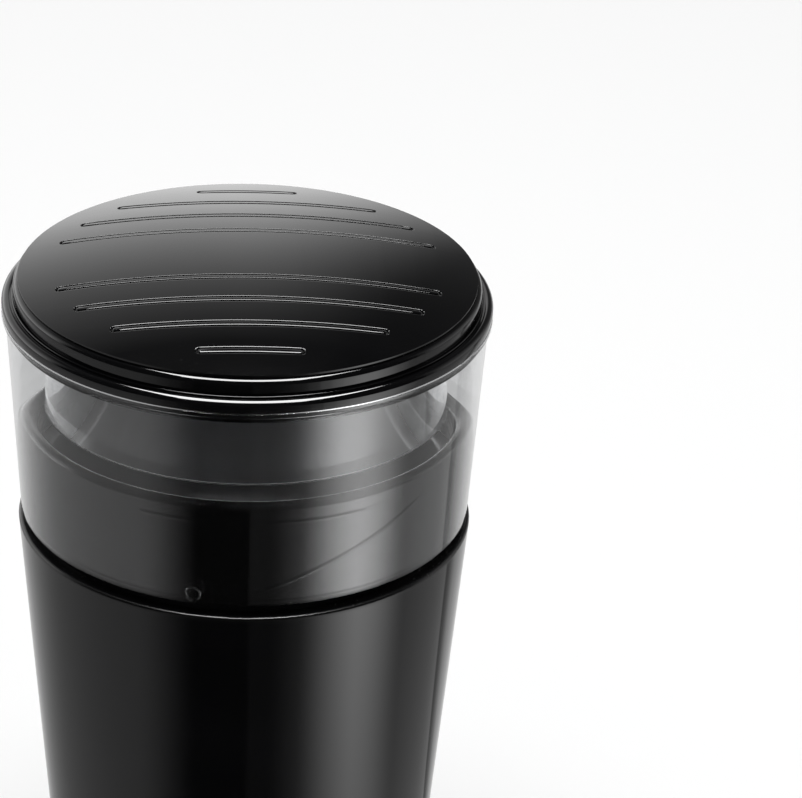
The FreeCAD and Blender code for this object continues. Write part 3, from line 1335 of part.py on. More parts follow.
def make_base_screws():
    body = new_body("base_screws")
    first = screw(body, "base_screw_circle", "feet_height + base_recess", "base_screw_length",
                  "base_screw_radius", "head_radius", "small_head_height")
    around(body, [first], "base_screw_count")
    turn_body(body, "base_turn")


def make_rubber_feet():
    body = new_body("rubber_feet")
    barb_top = f"{BASE_TOP} + foot_barb_height"
    first = turned(body, [
        ("0", "0"),
        ("foot_radius - foot_round", "0"),
        ("foot_radius", "foot_round", "foot_round", "left"),
        ("foot_radius", "feet_height"),
        ("foot_plug_radius", "feet_height"),
        ("foot_plug_radius", BASE_TOP),
        ("foot_barb_radius", BASE_TOP),
        ("foot_plug_radius", barb_top),
        ("0", barb_top),
    ], "foot_circle")
    around(body, [first], "foot_count")


def make_cord_grommet():
    body = new_body("cord_grommet")
    inner = "(cord_boss_reach - cord_boss_thickness)"
    turned(body, [
        ("grommet_bore", f"{inner} - grommet_flange"),
        ("grommet_flange_radius", f"{inner} - grommet_flange"),
        ("grommet_flange_radius", inner),
        ("cord_hole_radius - fit", inner),
        ("cord_hole_radius - fit", "cord_boss_reach"),
        ("grommet_flange_radius", "cord_boss_reach"),
        ("grommet_flange_radius", "cord_boss_reach + grommet_flange"),
        ("grommet_bore", "cord_boss_reach + grommet_flange"),
    ])
    lay_along_y(body, "cord_height")


make_housing()
make_collar()
make_collar_screws()
make_bowl()
make_bowl_gasket()
make_shaft_seal()
make_blade()
make_blade_washer()
make_blade_nut()
make_lid_sleeve()
make_lid_cap()
make_motor_carrier()
make_vibration_isolators()
make_carrier_screws()
make_upper_bearing()
make_lower_bearing()
make_lower_bracket()
make_motor_screws()
make_stator_core()
make_field_coils()
make_shaft()
make_armature_core()
make_armature_windings()
make_commutator()
make_cooling_fan()
make_brush_plate()
make_brush_holders()
make_carbon_brushes()
make_brush_springs()
make_push_slider()
make_return_spring()
make_switch_body()
make_switch_button()
make_switch_terminals()
make_switch_bracket()
make_switch_screws()
make_bracket_screws()
make_base_cover()
make_base_screws()
make_rubber_feet()
make_cord_grommet()

doc.recompute()

# Every object is up to date, and every sub-part is a sound solid, before anything is written
for thing in doc.Objects:
    assert not {"Invalid", "Error"} & set(thing.State), f"{thing.Name} is {thing.State}"
os.makedirs("parts", exist_ok=True)
for node in NODES:
    assert not node.Shape.isNull() and node.Shape.isValid(), node.Label + " isn't a sound shape"
    assert node.Shape.Solids, node.Label + " holds no solid"
for node in NODES:
    node.Shape.exportStep(f"parts/{node.Label}.step")
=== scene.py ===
"""The looks of a press-lid electric spice grinder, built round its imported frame. Metres, +Z up."""
import bmesh
import bpy
import json
import math
from mathutils import Matrix, Vector

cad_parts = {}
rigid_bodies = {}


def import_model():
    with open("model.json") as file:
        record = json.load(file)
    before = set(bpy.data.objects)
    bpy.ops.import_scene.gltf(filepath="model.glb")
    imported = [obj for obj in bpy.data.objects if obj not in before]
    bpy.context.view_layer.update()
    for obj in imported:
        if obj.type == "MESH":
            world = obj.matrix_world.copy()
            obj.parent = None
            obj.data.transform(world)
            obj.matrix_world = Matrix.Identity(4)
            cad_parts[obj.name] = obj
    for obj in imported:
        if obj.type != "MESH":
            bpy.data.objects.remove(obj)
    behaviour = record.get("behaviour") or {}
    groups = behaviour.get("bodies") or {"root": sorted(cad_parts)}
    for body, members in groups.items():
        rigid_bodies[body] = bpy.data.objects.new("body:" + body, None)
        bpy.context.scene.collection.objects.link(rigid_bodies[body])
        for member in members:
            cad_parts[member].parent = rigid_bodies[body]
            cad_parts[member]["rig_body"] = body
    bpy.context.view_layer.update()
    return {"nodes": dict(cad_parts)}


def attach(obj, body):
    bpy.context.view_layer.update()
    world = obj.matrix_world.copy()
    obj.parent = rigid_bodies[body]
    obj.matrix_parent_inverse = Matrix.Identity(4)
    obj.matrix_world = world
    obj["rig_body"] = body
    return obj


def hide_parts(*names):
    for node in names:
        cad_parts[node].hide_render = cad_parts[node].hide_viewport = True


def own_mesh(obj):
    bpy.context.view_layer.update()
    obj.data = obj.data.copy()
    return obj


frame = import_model()


# Camera: a long lens in front of the grinder and above it, which looks down at the cap and cuts the
# lower part of the housing off. Its roll is that of the photograph.
CAMERA_PLACE = (0.035107, -0.697132, 0.50552)
CAMERA_RIGHT = Vector((0.999259, 0.017222, 0.034423))
CAMERA_UP = Vector((-0.038490, 0.447108, 0.893652))
CAMERA_BACK = CAMERA_RIGHT.cross(CAMERA_UP)

camera = bpy.data.objects.new("camera", bpy.data.cameras.new("camera"))
bpy.context.scene.collection.objects.link(camera)
camera.data.sensor_width = 36.0
camera.data.lens = 154.0
camera.data.clip_start = 0.01
turn = Matrix((CAMERA_RIGHT, CAMERA_UP, CAMERA_BACK)).transposed().to_4x4()
camera.matrix_world = Matrix.Translation(CAMERA_PLACE) @ turn
bpy.context.scene.camera = camera


# Shader maths: a socket takes plain arithmetic, and a finish is one material of the grinder. What
# varies over a surface is worked out from Object coordinates, and constants sit on the shader.
class Level:
    """A number that varies over a surface, and takes arithmetic."""

    def __init__(self, tree, socket):
        self.tree = tree
        self.socket = socket

    def maths(self, operation, *operands):
        node = self.tree.nodes.new("ShaderNodeMath")
        node.operation = operation
        for slot, operand in zip(node.inputs, operands):
            if isinstance(operand, Level):
                self.tree.links.new(operand.socket, slot)
            else:
                slot.default_value = operand
        return Level(self.tree, node.outputs[0])

    def __add__(self, other):
        return self.maths("ADD", self, other)

    def __radd__(self, other):
        return self.maths("ADD", other, self)

    def __sub__(self, other):
        return self.maths("SUBTRACT", self, other)

    def __rsub__(self, other):
        return self.maths("SUBTRACT", other, self)

    def __mul__(self, other):
        return self.maths("MULTIPLY", self, other)

    def __rmul__(self, other):
        return self.maths("MULTIPLY", other, self)

    def __truediv__(self, other):
        return self.maths("DIVIDE", self, other)

    def power(self, other):
        return self.maths("POWER", self, other)

    def least(self, other):
        return self.maths("MINIMUM", self, other)

    def most(self, other):
        return self.maths("MAXIMUM", self, other)

    def wave(self, pitch):
        """A sine from 0 to 1 that repeats after pitch."""
        return 0.5 + 0.5 * self.maths("SINE", self * (2.0 * math.pi / pitch))

    def step(self, low, high):
        """0 below low, 1 above high, and smooth between; low may be above high."""
        node = self.tree.nodes.new("ShaderNodeMapRange")
        node.interpolation_type = "SMOOTHSTEP"
        ends = (low, high, 0.0, 1.0) if low < high else (high, low, 1.0, 0.0)
        for slot, end in zip(node.inputs[1:5], ends):
            slot.default_value = end
        self.tree.links.new(self.socket, node.inputs[0])
        return Level(self.tree, node.outputs[0])


class Finish:
    """One material. Constants are given by the names of the shader's sockets."""

    def __init__(self, name, color, **constants):
        self.material = bpy.data.materials.new(name)
        self.material.use_nodes = True
        self.tree = self.material.node_tree
        self.shader = self.tree.nodes["Principled BSDF"]
        self.shader.inputs["Base Color"].default_value = (*color, 1.0)
        for socket, value in constants.items():
            self.shader.inputs[socket.replace("_", " ")].default_value = value
        self.place = self.node("ShaderNodeTexCoord", {}, {}, "Object")

    def node(self, kind, settings, values, output=0):
        """A node of a kind. Settings are set first, then the values or links of its sockets."""
        node = self.tree.nodes.new(kind)
        for setting, value in settings.items():
            setattr(node, setting, value)
        for socket, value in values.items():
            if isinstance(value, Level):
                self.tree.links.new(value.socket, node.inputs[socket])
            else:
                node.inputs[socket].default_value = value
        return Level(self.tree, node.outputs[output])

    def axes(self):
        """X, Y and Z of the place on the surface."""
        parts = self.node("ShaderNodeSeparateXYZ", {}, {"Vector": self.place})
        outputs = parts.socket.node.outputs
        return [Level(self.tree, outputs[axis]) for axis in "XYZ"]

    def stretched(self, x, y, z):
        """The place, stretched along each axis."""
        return self.node("ShaderNodeMapping", {}, {"Vector": self.place, "Scale": (x, y, z)})

    def noise(self, scale, detail=3.0, place=None):
        values = {"Vector": place or self.place, "Scale": scale, "Detail": detail}
        return self.node("ShaderNodeTexNoise", {}, values)

    def radius(self):
        """Distance from the grinder's axis."""
        x, y = self.axes()[:2]
        return (x * x + y * y).power(0.5)

    def bearing(self):
        """Degrees round the grinder's axis, from the front towards the right."""
        x, y = self.axes()[:2]
        return x.maths("ARCTAN2", x, -1.0 * y) * (180.0 / math.pi)

    def lathe(self, scale):
        """A place that only changes with radius and height, so that a pattern on it runs round."""
        values = {"X": self.radius() * scale, "Y": self.axes()[2] * scale}
        return self.node("ShaderNodeCombineXYZ", {}, values)

    def feed(self, socket, level):
        self.tree.links.new(level.socket, self.shader.inputs[socket])

    def shade(self, share, dark, light):
        """Colour that varies from dark to light."""
        mix = self.tree.nodes.new("ShaderNodeMix")
        mix.data_type = "RGBA"
        mix.inputs[6].default_value = (*dark, 1.0)
        mix.inputs[7].default_value = (*light, 1.0)
        self.tree.links.new(share.socket, mix.inputs[0])
        self.tree.links.new(mix.outputs[2], self.shader.inputs["Base Color"])

    def relief(self, height, depth):
        """Bump of a height from 0 to 1, that many metres deep."""
        values = {"Height": height, "Distance": depth, "Strength": 1.0}
        self.feed("Normal", self.node("ShaderNodeBump", {}, values))


# Studio: a white table in a white room, under a lamp box. To the camera, and through clear plastic,
# both are plain white. Black plastic mirrors what stands round such a table: a dark front, a bright
# panel on the right and dim ones on the left and behind.
def light_paths(tree):
    """Whether a ray comes from the camera, has passed clear plastic, and has been mirrored."""
    outputs = tree.nodes.new("ShaderNodeLightPath").outputs
    camera_ray, clear_ray, mirrored = [
        Level(tree, outputs[name])
        for name in ("Is Camera Ray", "Is Transmission Ray", "Glossy Depth")]
    return camera_ray, clear_ray, mirrored.least(1.0)


THROUGH_PLASTIC = 0.42  # the share of white that clear walls take away
SHADOW_SHARE = 0.45  # how much of the table's white the camera sees without its shadow
TABLE_HALF = 6.0
FRONT_GLOW = 0.01
PANEL_GLOW = 1.85
PANEL_NEAR = 0.175
PANEL_MOST = 1.18
SEAM_DEPTH = 0.3
GLOWS = ((4.0, 7.0, 0.035), (14.0, 46.0, 0.38), (-18.0, -50.0, 0.39), (-95.0, -150.0, 0.3),
         (110.0, 150.0, 0.3))  # two bearings between which a glow sets in, and its strength

table = bmesh.new()
bmesh.ops.create_grid(table, x_segments=1, y_segments=1, size=TABLE_HALF)
table_mesh = bpy.data.meshes.new("table")
table.to_mesh(table_mesh)
table.free()
table = bpy.data.objects.new("table", table_mesh)
bpy.context.scene.collection.objects.link(table)

white = Finish("table_white", (0.8, 0.8, 0.8), Roughness=1.0, Specular_IOR_Level=0.0)
camera_ray, clear_ray, mirrored = light_paths(white.tree)
bearing = white.bearing()
panel = bearing.step(28.0, 60.0) * bearing.step(88.0, 56.0)
panel = panel * (white.radius() / PANEL_NEAR).least(PANEL_MOST)
seam = bearing.step(121.8, 123.8) * bearing.step(135.3, 124.3)
seen = FRONT_GLOW + panel * PANEL_GLOW - seam * SEAM_DEPTH
for start, full, glow in GLOWS:
    seen = seen + bearing.step(start, full) * glow
plain_white = 1.0 - clear_ray * THROUGH_PLASTIC
strength = mirrored * seen + (1.0 - mirrored) * plain_white
emission = white.node("ShaderNodeEmission", {}, {"Strength": strength})
shadow_share = (camera_ray * SHADOW_SHARE + mirrored + clear_ray).least(1.0)
mixed = white.tree.nodes.new("ShaderNodeMixShader")
white.tree.links.new(shadow_share.socket, mixed.inputs[0])
white.tree.links.new(white.shader.outputs[0], mixed.inputs[1])
white.tree.links.new(emission.socket, mixed.inputs[2])
white.tree.links.new(mixed.outputs[0], white.tree.nodes["Material Output"].inputs[0])
table_mesh.materials.append(white.material)

ROOM_DARK = 0.02
ROOM_LIGHT = 0.75
WALL_TOP = 0.70
WALL_FADE = 0.55
WALL_GLOW = 1.65
WALL_LEAST = 0.04
LEFT_SHARE = 0.94
MIDDLE_SHARE = 0.06
RIGHT_SHARE = 0.35

world = bpy.data.worlds.new("room")
bpy.context.scene.world = world
world.use_nodes = True
camera_ray, clear_ray, mirrored = light_paths(world.node_tree)
direction = world.node_tree.nodes.new("ShaderNodeTexCoord")
split = world.node_tree.nodes.new("ShaderNodeSeparateXYZ")
world.node_tree.links.new(direction.outputs["Generated"], split.inputs[0])
x, y, z = [Level(world.node_tree, output) for output in split.outputs]
# the wall behind is brightest low down and on the left, and the front is dark
aside = x / y.most(0.05)
lowness = ((WALL_TOP - z) / WALL_FADE).least(1.0).most(0.0)
sides = MIDDLE_SHARE + LEFT_SHARE * aside.step(0.18, -0.07) + RIGHT_SHARE * aside.step(0.55, 1.3)
wall = ROOM_DARK + y.step(-0.05, 0.25) * (WALL_LEAST + WALL_GLOW * lowness) * sides
plain_room = (ROOM_LIGHT + camera_ray + clear_ray).least(1.0) - clear_ray * THROUGH_PLASTIC
strength = mirrored * wall + (1.0 - mirrored) * plain_room
background = world.node_tree.nodes["Background"]
world.node_tree.links.new(strength.socket, background.inputs["Strength"])
background.inputs["Color"].default_value = (1.0, 1.0, 1.0, 1.0)


def lamp(name, place, target, width, height, power):
    """A soft rectangular lamp."""
    light = bpy.data.lights.new(name, "AREA")
    light.shape = "RECTANGLE"
    light.size = width
    light.size_y = height
    light.energy = power
    holder = bpy.data.objects.new(name, light)
    bpy.context.scene.collection.objects.link(holder)
    aim = (Vector(target) - Vector(place)).to_track_quat("-Z", "Y")
    holder.matrix_world = Matrix.Translation(place) @ aim.to_matrix().to_4x4()
    return holder


soft_lamp = lamp("soft_lamp", place=(0.0, -0.10, 1.5), target=(0.0, 0.0, 0.15), width=0.9,
                 height=0.7, power=14.0)
soft_lamp.visible_glossy = False
box_lamp = lamp("box_lamp", place=(0.0, 0.225, 1.5), target=(0.0, 0.225, 0.15), width=0.86,
                height=1.36, power=80.0)
box_lamp.visible_diffuse = False


# Cap: one black injection moulding, polished like piano lacquer. A domed disc stands on a stepped
# rim, and eight straight lines stand in the dome, each in a narrow round-ended trough, and end on
# one circle. Sizes are in millimetres.
CAP_RADIUS = 55.0
CAP_LOW = 178.0
CAP_TOP = 192.0
CAP_WALL = 2.4
RIM_TOP = 181.9
RIM_ROUND = 1.3
FLANGE_TOP = 179.2
FOOT_RADIUS = 54.4
DISC_RADIUS = 52.4
DISC_SHOULDER = 185.69
DISC_SIDES = 120
DOME_EDGE = 51.35
DOME_RADIUS = 240.0
DOME_CENTRE = CAP_TOP - DOME_RADIUS
LIP_TOP = 182.17
LIP_ROUND = 0.2
GROOVE_IN = 0.45
HOLLOW_OUTER = 50.2
HOLLOW_INNER = 44.2
HOLLOW_HEIGHT = 5.0
PLUG_OUTER = 41.9
PLUG_INNER = 40.1
PLUG_DEPTH = 1.7
PLUG_ROUND = 0.2
LINE_RING = 0.85
LINE_HALF = 0.36
LINE_DEPTH = 0.70
LINE_EDGE = 0.07
LINE_PLACES = (12.5, 22.5, 32.5, 42.5)
LINE_CIRCLE = 44.0
LINE_TURN = 3.8
LINE_OFFSETS = (0.0, 0.30, 0.49, 0.525, 0.56, 0.70, 0.85, 1.00, 1.14, 1.175, 1.21, 1.35)
WIDEST_ROW = 2.4
WIDEST_COLUMN = 2.8
CUT_FROM = 0.93  # the share of the dome's radius beyond which faces are cut


def spaced(fixed, widest):
    """The fixed places with more between them wherever they lie wider apart than widest."""
    places = sorted(set(round(place, 4) for place in fixed))
    filled = places[:1]
    for place in places[1:]:
        parts = math.ceil((place - filled[-1]) / widest)
        start = filled[-1]
        filled += [start + (place - start) * part / parts for part in range(1, parts + 1)]
    return filled


def trough_share(off):
    """Depth of the narrow trough round a line, from 1 at its bottom to 0 at its rounded edges."""
    inside = LINE_HALF - abs(off - LINE_RING)
    if inside <= 0.0:
        return 0.0
    rounded = min(inside, LINE_EDGE) ** 2 / 2.0 / LINE_EDGE
    return (rounded + max(inside - LINE_EDGE, 0.0)) / LINE_HALF


def line_depth(x, y):
    """How deep the moulded lines are at a place on the disc."""
    deepest = 0.0
    for place in LINE_PLACES:
        reach = math.sqrt(LINE_CIRCLE ** 2 - place ** 2) - LINE_RING
        off = math.hypot(max(abs(x) - reach, 0.0), abs(y) - place)
        deepest = max(deepest, LINE_DEPTH * trough_share(off))
    return deepest


def dome_height(radius, inset=0.0):
    """Height of the dome, or of a dome that lies inset under it."""
    return DOME_CENTRE + math.sqrt((DOME_RADIUS - inset) ** 2 - radius ** 2)


def make_disc():
    """The dome with its lines, as a grid that is finest along them, cut to a circle."""
    limit = DOME_EDGE + 1.0
    rows = [-limit, limit]
    columns = [-limit, limit]
    for place in LINE_PLACES:
        reach = math.sqrt(LINE_CIRCLE ** 2 - place ** 2) - LINE_RING
        for off in LINE_OFFSETS:
            columns += [-reach - off, reach + off]
            rows += [-place - off, off - place, place - off, place + off]
    rows = spaced(rows, WIDEST_ROW)
    columns = spaced(columns, WIDEST_COLUMN)
    mesh = bmesh.new()
    bmesh.ops.create_grid(mesh, x_segments=len(columns) - 1, y_segments=len(rows) - 1, size=1.0)
    for vert in mesh.verts:
        column = round((vert.co.x + 1.0) / 2.0 * (len(columns) - 1))
        row = round((vert.co.y + 1.0) / 2.0 * (len(rows) - 1))
        vert.co.x = columns[column]
        vert.co.y = rows[row]
    for side in range(DISC_SIDES):
        angle = 2.0 * math.pi * side / DISC_SIDES
        out = Vector((math.cos(angle), math.sin(angle), 0.0))
        near = [face for face in mesh.faces
                if face.calc_center_median().dot(out) > DOME_EDGE * CUT_FROM]
        parts = set(near)
        for face in near:
            parts.update(face.verts, face.edges)
        bmesh.ops.bisect_plane(mesh, geom=list(parts), dist=1e-5, plane_co=out * DOME_EDGE,
                               plane_no=out, clear_outer=True)
    for vert in mesh.verts:
        if vert.is_boundary:
            vert.co.xy = vert.co.xy.normalized() * DOME_EDGE
        vert.co.z = dome_height(vert.co.xy.length) - line_depth(vert.co.x, vert.co.y)
    return mesh


def carry_rings(mesh, path):
    """Extrude the open edge through a path of radius and height, and close it at the axis."""
    rim = [edge for edge in mesh.edges if edge.is_boundary]
    for radius, height in path:
        grown = bmesh.ops.extrude_edge_only(mesh, edges=rim)["geom"]
        rim = [part for part in grown if isinstance(part, bmesh.types.BMEdge)]
        rim = [edge for edge in rim if edge.is_boundary]
        for vert in {vert for edge in rim for vert in edge.verts}:
            vert.co.xy = vert.co.xy.normalized() * radius
            vert.co.z = height
    bmesh.ops.contextual_create(mesh, geom=rim)


def arc(centre_radius, centre_height, size, first, last, steps):
    """Points on an arc in the plane of radius and height. Angles are degrees from out to up."""
    points = []
    for step in range(steps + 1):
        angle = math.radians(first + (last - first) * step / steps)
        points.append((centre_radius + size * math.cos(angle),
                       centre_height + size * math.sin(angle)))
    return points


def finish_piece(mesh, name, body, slot, finish, *nodes, crease=32.0):
    """Make the piece an object in metres, smooth but for its creases, that stands for its nodes."""
    bmesh.ops.recalc_face_normals(mesh, faces=mesh.faces[:])
    data = bpy.data.meshes.new(name)
    mesh.to_mesh(data)
    mesh.free()
    data.transform(Matrix.Scale(0.001, 4))
    data.shade_smooth()
    data.set_sharp_from_angle(angle=math.radians(crease))
    data.materials.append(finish.material)
    piece = bpy.data.objects.new(name, data)
    bpy.context.scene.collection.objects.link(piece)
    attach(piece, body)
    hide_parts(*nodes)
    return piece


def black_gloss(name, color, roughness, ior=1.5):
    """Polished black plastic: faint haze from handling, and the slight waviness of a moulding."""
    finish = Finish(name, color, IOR=ior)
    haze = finish.noise(45.0, 4.0)
    specks = finish.noise(900.0, 2.0).step(0.66, 0.78)
    finish.dull = roughness + haze * roughness + specks * 0.05
    finish.feed("Roughness", finish.dull)
    finish.shade(haze.step(0.35, 0.75), color, [part * 1.5 for part in color])
    finish.relief(finish.noise(70.0, 2.0), 0.000004)
    return finish


disc = make_disc()
# the step under the dome's edge, and the disc's rounded shoulder
cap_path = [(DOME_EDGE + 0.03, dome_height(DOME_EDGE) - 0.12),
            (DOME_EDGE - 0.23, DISC_SHOULDER - 0.17),
            (DOME_EDGE - 0.05, DISC_SHOULDER - 0.19)]
cap_path += arc(DISC_RADIUS - RIM_ROUND, DISC_SHOULDER - RIM_ROUND, RIM_ROUND, 78.0, 0.0, 8)
# the groove at the foot of the disc's wall, the lip, and the groove outside it
cap_path += [(DISC_RADIUS, LIP_TOP + 0.61), (DISC_RADIUS - 0.1, LIP_TOP + 0.48),
             (DISC_RADIUS - GROOVE_IN, LIP_TOP + 0.43), (DISC_RADIUS - GROOVE_IN, LIP_TOP - 0.02)]
cap_path += arc(DISC_RADIUS + 0.15, LIP_TOP - LIP_ROUND, LIP_ROUND, 100.0, 0.0, 4)
cap_path += [(DISC_RADIUS + 0.35, RIM_TOP - GROOVE_IN), (DISC_RADIUS + 0.80, RIM_TOP - GROOVE_IN)]
# the rounded rim, and the foot that the sleeve's flange goes round
cap_path += arc(CAP_RADIUS - RIM_ROUND, RIM_TOP - RIM_ROUND, RIM_ROUND, 112.0, 0.0, 9)
cap_path += arc(CAP_RADIUS - 0.25, FLANGE_TOP + 0.2, 0.2, 0.0, -90.0, 3)
cap_path += [(FOOT_RADIUS, FLANGE_TOP), (FOOT_RADIUS, CAP_LOW)]
# the hollow of the rim, the plug inside the skirt, and the dome's underside
cap_path += [(HOLLOW_OUTER, CAP_LOW), (HOLLOW_OUTER, CAP_LOW + HOLLOW_HEIGHT),
             (HOLLOW_INNER, CAP_LOW + HOLLOW_HEIGHT), (HOLLOW_INNER, CAP_LOW),
             (PLUG_OUTER, CAP_LOW), (PLUG_OUTER, CAP_LOW - PLUG_DEPTH + PLUG_ROUND),
             (PLUG_OUTER - PLUG_ROUND, CAP_LOW - PLUG_DEPTH),
             (PLUG_INNER + PLUG_ROUND, CAP_LOW - PLUG_DEPTH),
             (PLUG_INNER, CAP_LOW - PLUG_DEPTH + PLUG_ROUND)]
cap_path += [(radius, dome_height(radius, CAP_WALL)) for radius in (PLUG_INNER, 26.0, 12.0, 4.0)]
carry_rings(disc, cap_path)
bmesh.ops.rotate(disc, verts=disc.verts[:], cent=(0, 0, 0),
                 matrix=Matrix.Rotation(math.radians(LINE_TURN), 3, "Z"))
cap_black = black_gloss("cap_black", (0.0016, 0.0016, 0.0018), 0.035)
finish_piece(disc, "cap", "lid", "cap_black", cap_black, "lid_cap")


# Sleeve: a clear moulding with a web that carries the cap, an inner skirt that reaches over the
# bowl, and at the back a rib that pushes the switch's slider when the lid goes down.
TURN_STEPS = 192
SLEEVE_LOW = 130.35
SLEEVE_LOW_RADIUS = 51.3
SLEEVE_TOP_RADIUS = 54.2
SLEEVE_WALL = 2.0
SLEEVE_INSIDE = 52.09
WEB_THICKNESS = 1.8
WEB_TOP = CAP_LOW - 0.02
RECESS_RADIUS = CAP_RADIUS - 0.55
CLEAR_TOP = FLANGE_TOP - 0.15
SKIRT_RADIUS = 43.8
SKIRT_WALL = 1.6
SKIRT_LOW = 157.5
RIB_HALF = 4.5
RIB_OUTLINE = ((46.7, 126.0), (48.4, 126.0), (48.4, 130.85), (50.33, 130.85), (51.5, 150.0),
               (46.7, 150.0))
MARK_PLACE = (-8.4, -50.85, 132.9)
MARK_TURN = -9.4
MARK_RADIUS = 1.6
MARK_LINE = 0.24
MARK_STEPS = 32


def turned(outline):
    """A solid of revolution from a closed outline of (radius, height, rounding)."""
    mesh = bmesh.new()
    corners = [mesh.verts.new((radius, 0.0, height)) for radius, height, rounding in outline]
    mesh.faces.new(corners)
    for size in sorted({rounding for radius, height, rounding in outline if rounding}):
        picked = [corner for corner, point in zip(corners, outline) if point[2] == size]
        bmesh.ops.bevel(mesh, geom=picked, offset=size, offset_type="OFFSET", segments=4,
                        profile=0.5, affect="VERTICES", material=-1)
    bmesh.ops.delete(mesh, geom=mesh.faces[:], context="FACES_ONLY")
    bmesh.ops.spin(mesh, geom=mesh.verts[:] + mesh.edges[:], axis=(0, 0, 1), cent=(0, 0, 0),
                   angle=2.0 * math.pi, steps=TURN_STEPS, use_merge=True)
    bmesh.ops.remove_doubles(mesh, verts=mesh.verts[:], dist=1e-4)
    return mesh


def join_shape(target, shape):
    """Join a shape to a mesh, and return the new mesh."""
    pieces = []
    for part in (target, shape):
        bmesh.ops.recalc_face_normals(part, faces=part.faces[:])
        data = bpy.data.meshes.new("part")
        part.to_mesh(data)
        part.free()
        pieces.append(bpy.data.objects.new("part", data))
        bpy.context.scene.collection.objects.link(pieces[-1])
    union = pieces[0].modifiers.new("join", "BOOLEAN")
    union.operation = "UNION"
    union.object = pieces[1]
    union.solver = "EXACT"
    result = bpy.data.meshes.new_from_object(pieces[0].evaluated_get(
        bpy.context.evaluated_depsgraph_get()))
    for piece in pieces:
        bpy.data.objects.remove(piece)
    mesh = bmesh.new()
    mesh.from_mesh(result)
    bmesh.ops.remove_doubles(mesh, verts=mesh.verts[:], dist=1e-4)
    return mesh


sleeve = turned([
    (SLEEVE_LOW_RADIUS - SLEEVE_WALL, SLEEVE_LOW, 0.35),
    (SLEEVE_LOW_RADIUS, SLEEVE_LOW, 0.5),
    (SLEEVE_TOP_RADIUS - 0.05, CAP_LOW - 0.3, 0.1),
    (CAP_RADIUS, CAP_LOW - 0.1, 0.3),
    (CAP_RADIUS, CLEAR_TOP, 0.15),
    (RECESS_RADIUS, CLEAR_TOP, 0.0),
    (RECESS_RADIUS, WEB_TOP, 0.0),
    (SKIRT_RADIUS - SKIRT_WALL, WEB_TOP, 0.15),
    (SKIRT_RADIUS - SKIRT_WALL, SKIRT_LOW, 0.2),
    (SKIRT_RADIUS, SKIRT_LOW, 0.2),
    (SKIRT_RADIUS, CAP_LOW - WEB_THICKNESS, 0.0),
    (SLEEVE_INSIDE, CAP_LOW - WEB_THICKNESS, 0.0),
])

rib = bmesh.new()
side = rib.faces.new([rib.verts.new((-RIB_HALF, place, height)) for place, height in RIB_OUTLINE])
grown = bmesh.ops.extrude_face_region(rib, geom=[side])["geom"]
grown = [part for part in grown if isinstance(part, bmesh.types.BMVert)]
bmesh.ops.translate(rib, verts=grown, vec=(2.0 * RIB_HALF, 0.0, 0.0))
sleeve = join_shape(sleeve, rib)

# the round mark of the mould, low on the front, is a fine ring half sunk in the wall
circle = bmesh.ops.create_circle(sleeve, segments=8, radius=MARK_LINE,
                                 matrix=Matrix.Translation((MARK_RADIUS, 0.0, 0.0)))["verts"]
loop = list({edge for vert in circle for edge in vert.link_edges})
before = set(sleeve.verts) - set(circle)
bmesh.ops.spin(sleeve, geom=circle + loop, axis=(0, 1, 0), cent=(0, 0, 0), angle=2.0 * math.pi,
               steps=MARK_STEPS, use_merge=True)
ring = [vert for vert in sleeve.verts if vert not in before]
bmesh.ops.rotate(sleeve, verts=ring, cent=(0, 0, 0),
                 matrix=Matrix.Rotation(math.radians(MARK_TURN), 3, "Z"))
bmesh.ops.translate(sleeve, verts=ring, vec=MARK_PLACE)

clear = Finish("clear_plastic", (0.97, 0.975, 0.98), IOR=1.51, Transmission_Weight=1.0)
ripple = clear.noise(26.0, 2.0)
scuffs = clear.noise(1.0, 3.0, clear.stretched(260.0, 260.0, 60.0)).step(0.62, 0.80)
clear.feed("Roughness", ripple.step(0.5, 0.9) * 0.015 + scuffs * 0.03)
clear.relief(ripple, 0.000004)
finish_piece(sleeve, "sleeve", "lid", "clear_plastic", clear, "lid_sleeve")


# Collar: a black polished moulding, screwed down on the housing, that holds the bowl. Its rounded
# crest goes up inside the sleeve, and a level ridge and a rising one run low on its front wall.
COLLAR_RADIUS = 48.6
COLLAR_LOW = 125.0
CREST_CENTRE = 153.1
CREST_ROUND = 1.8
RIDGE_STEPS = 60
RIDGE_POINTS = 5
RIDGE_SINK = 0.03
RIDGE_FOOT = 0.4


def dress(node, finish, slot, crease=32.0):
    """A CAD node's shape, merged and smoothed, in its own finish."""
    mesh = bmesh.new()
    mesh.from_mesh(frame["nodes"][node].data)
    bmesh.ops.scale(mesh, verts=mesh.verts[:], vec=(1000.0, 1000.0, 1000.0))
    bmesh.ops.remove_doubles(mesh, verts=mesh.verts[:], dist=1e-4)
    body = frame["nodes"][node]["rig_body"]
    return finish_piece(mesh, node + "_piece", body, slot, finish, node, crease=crease)


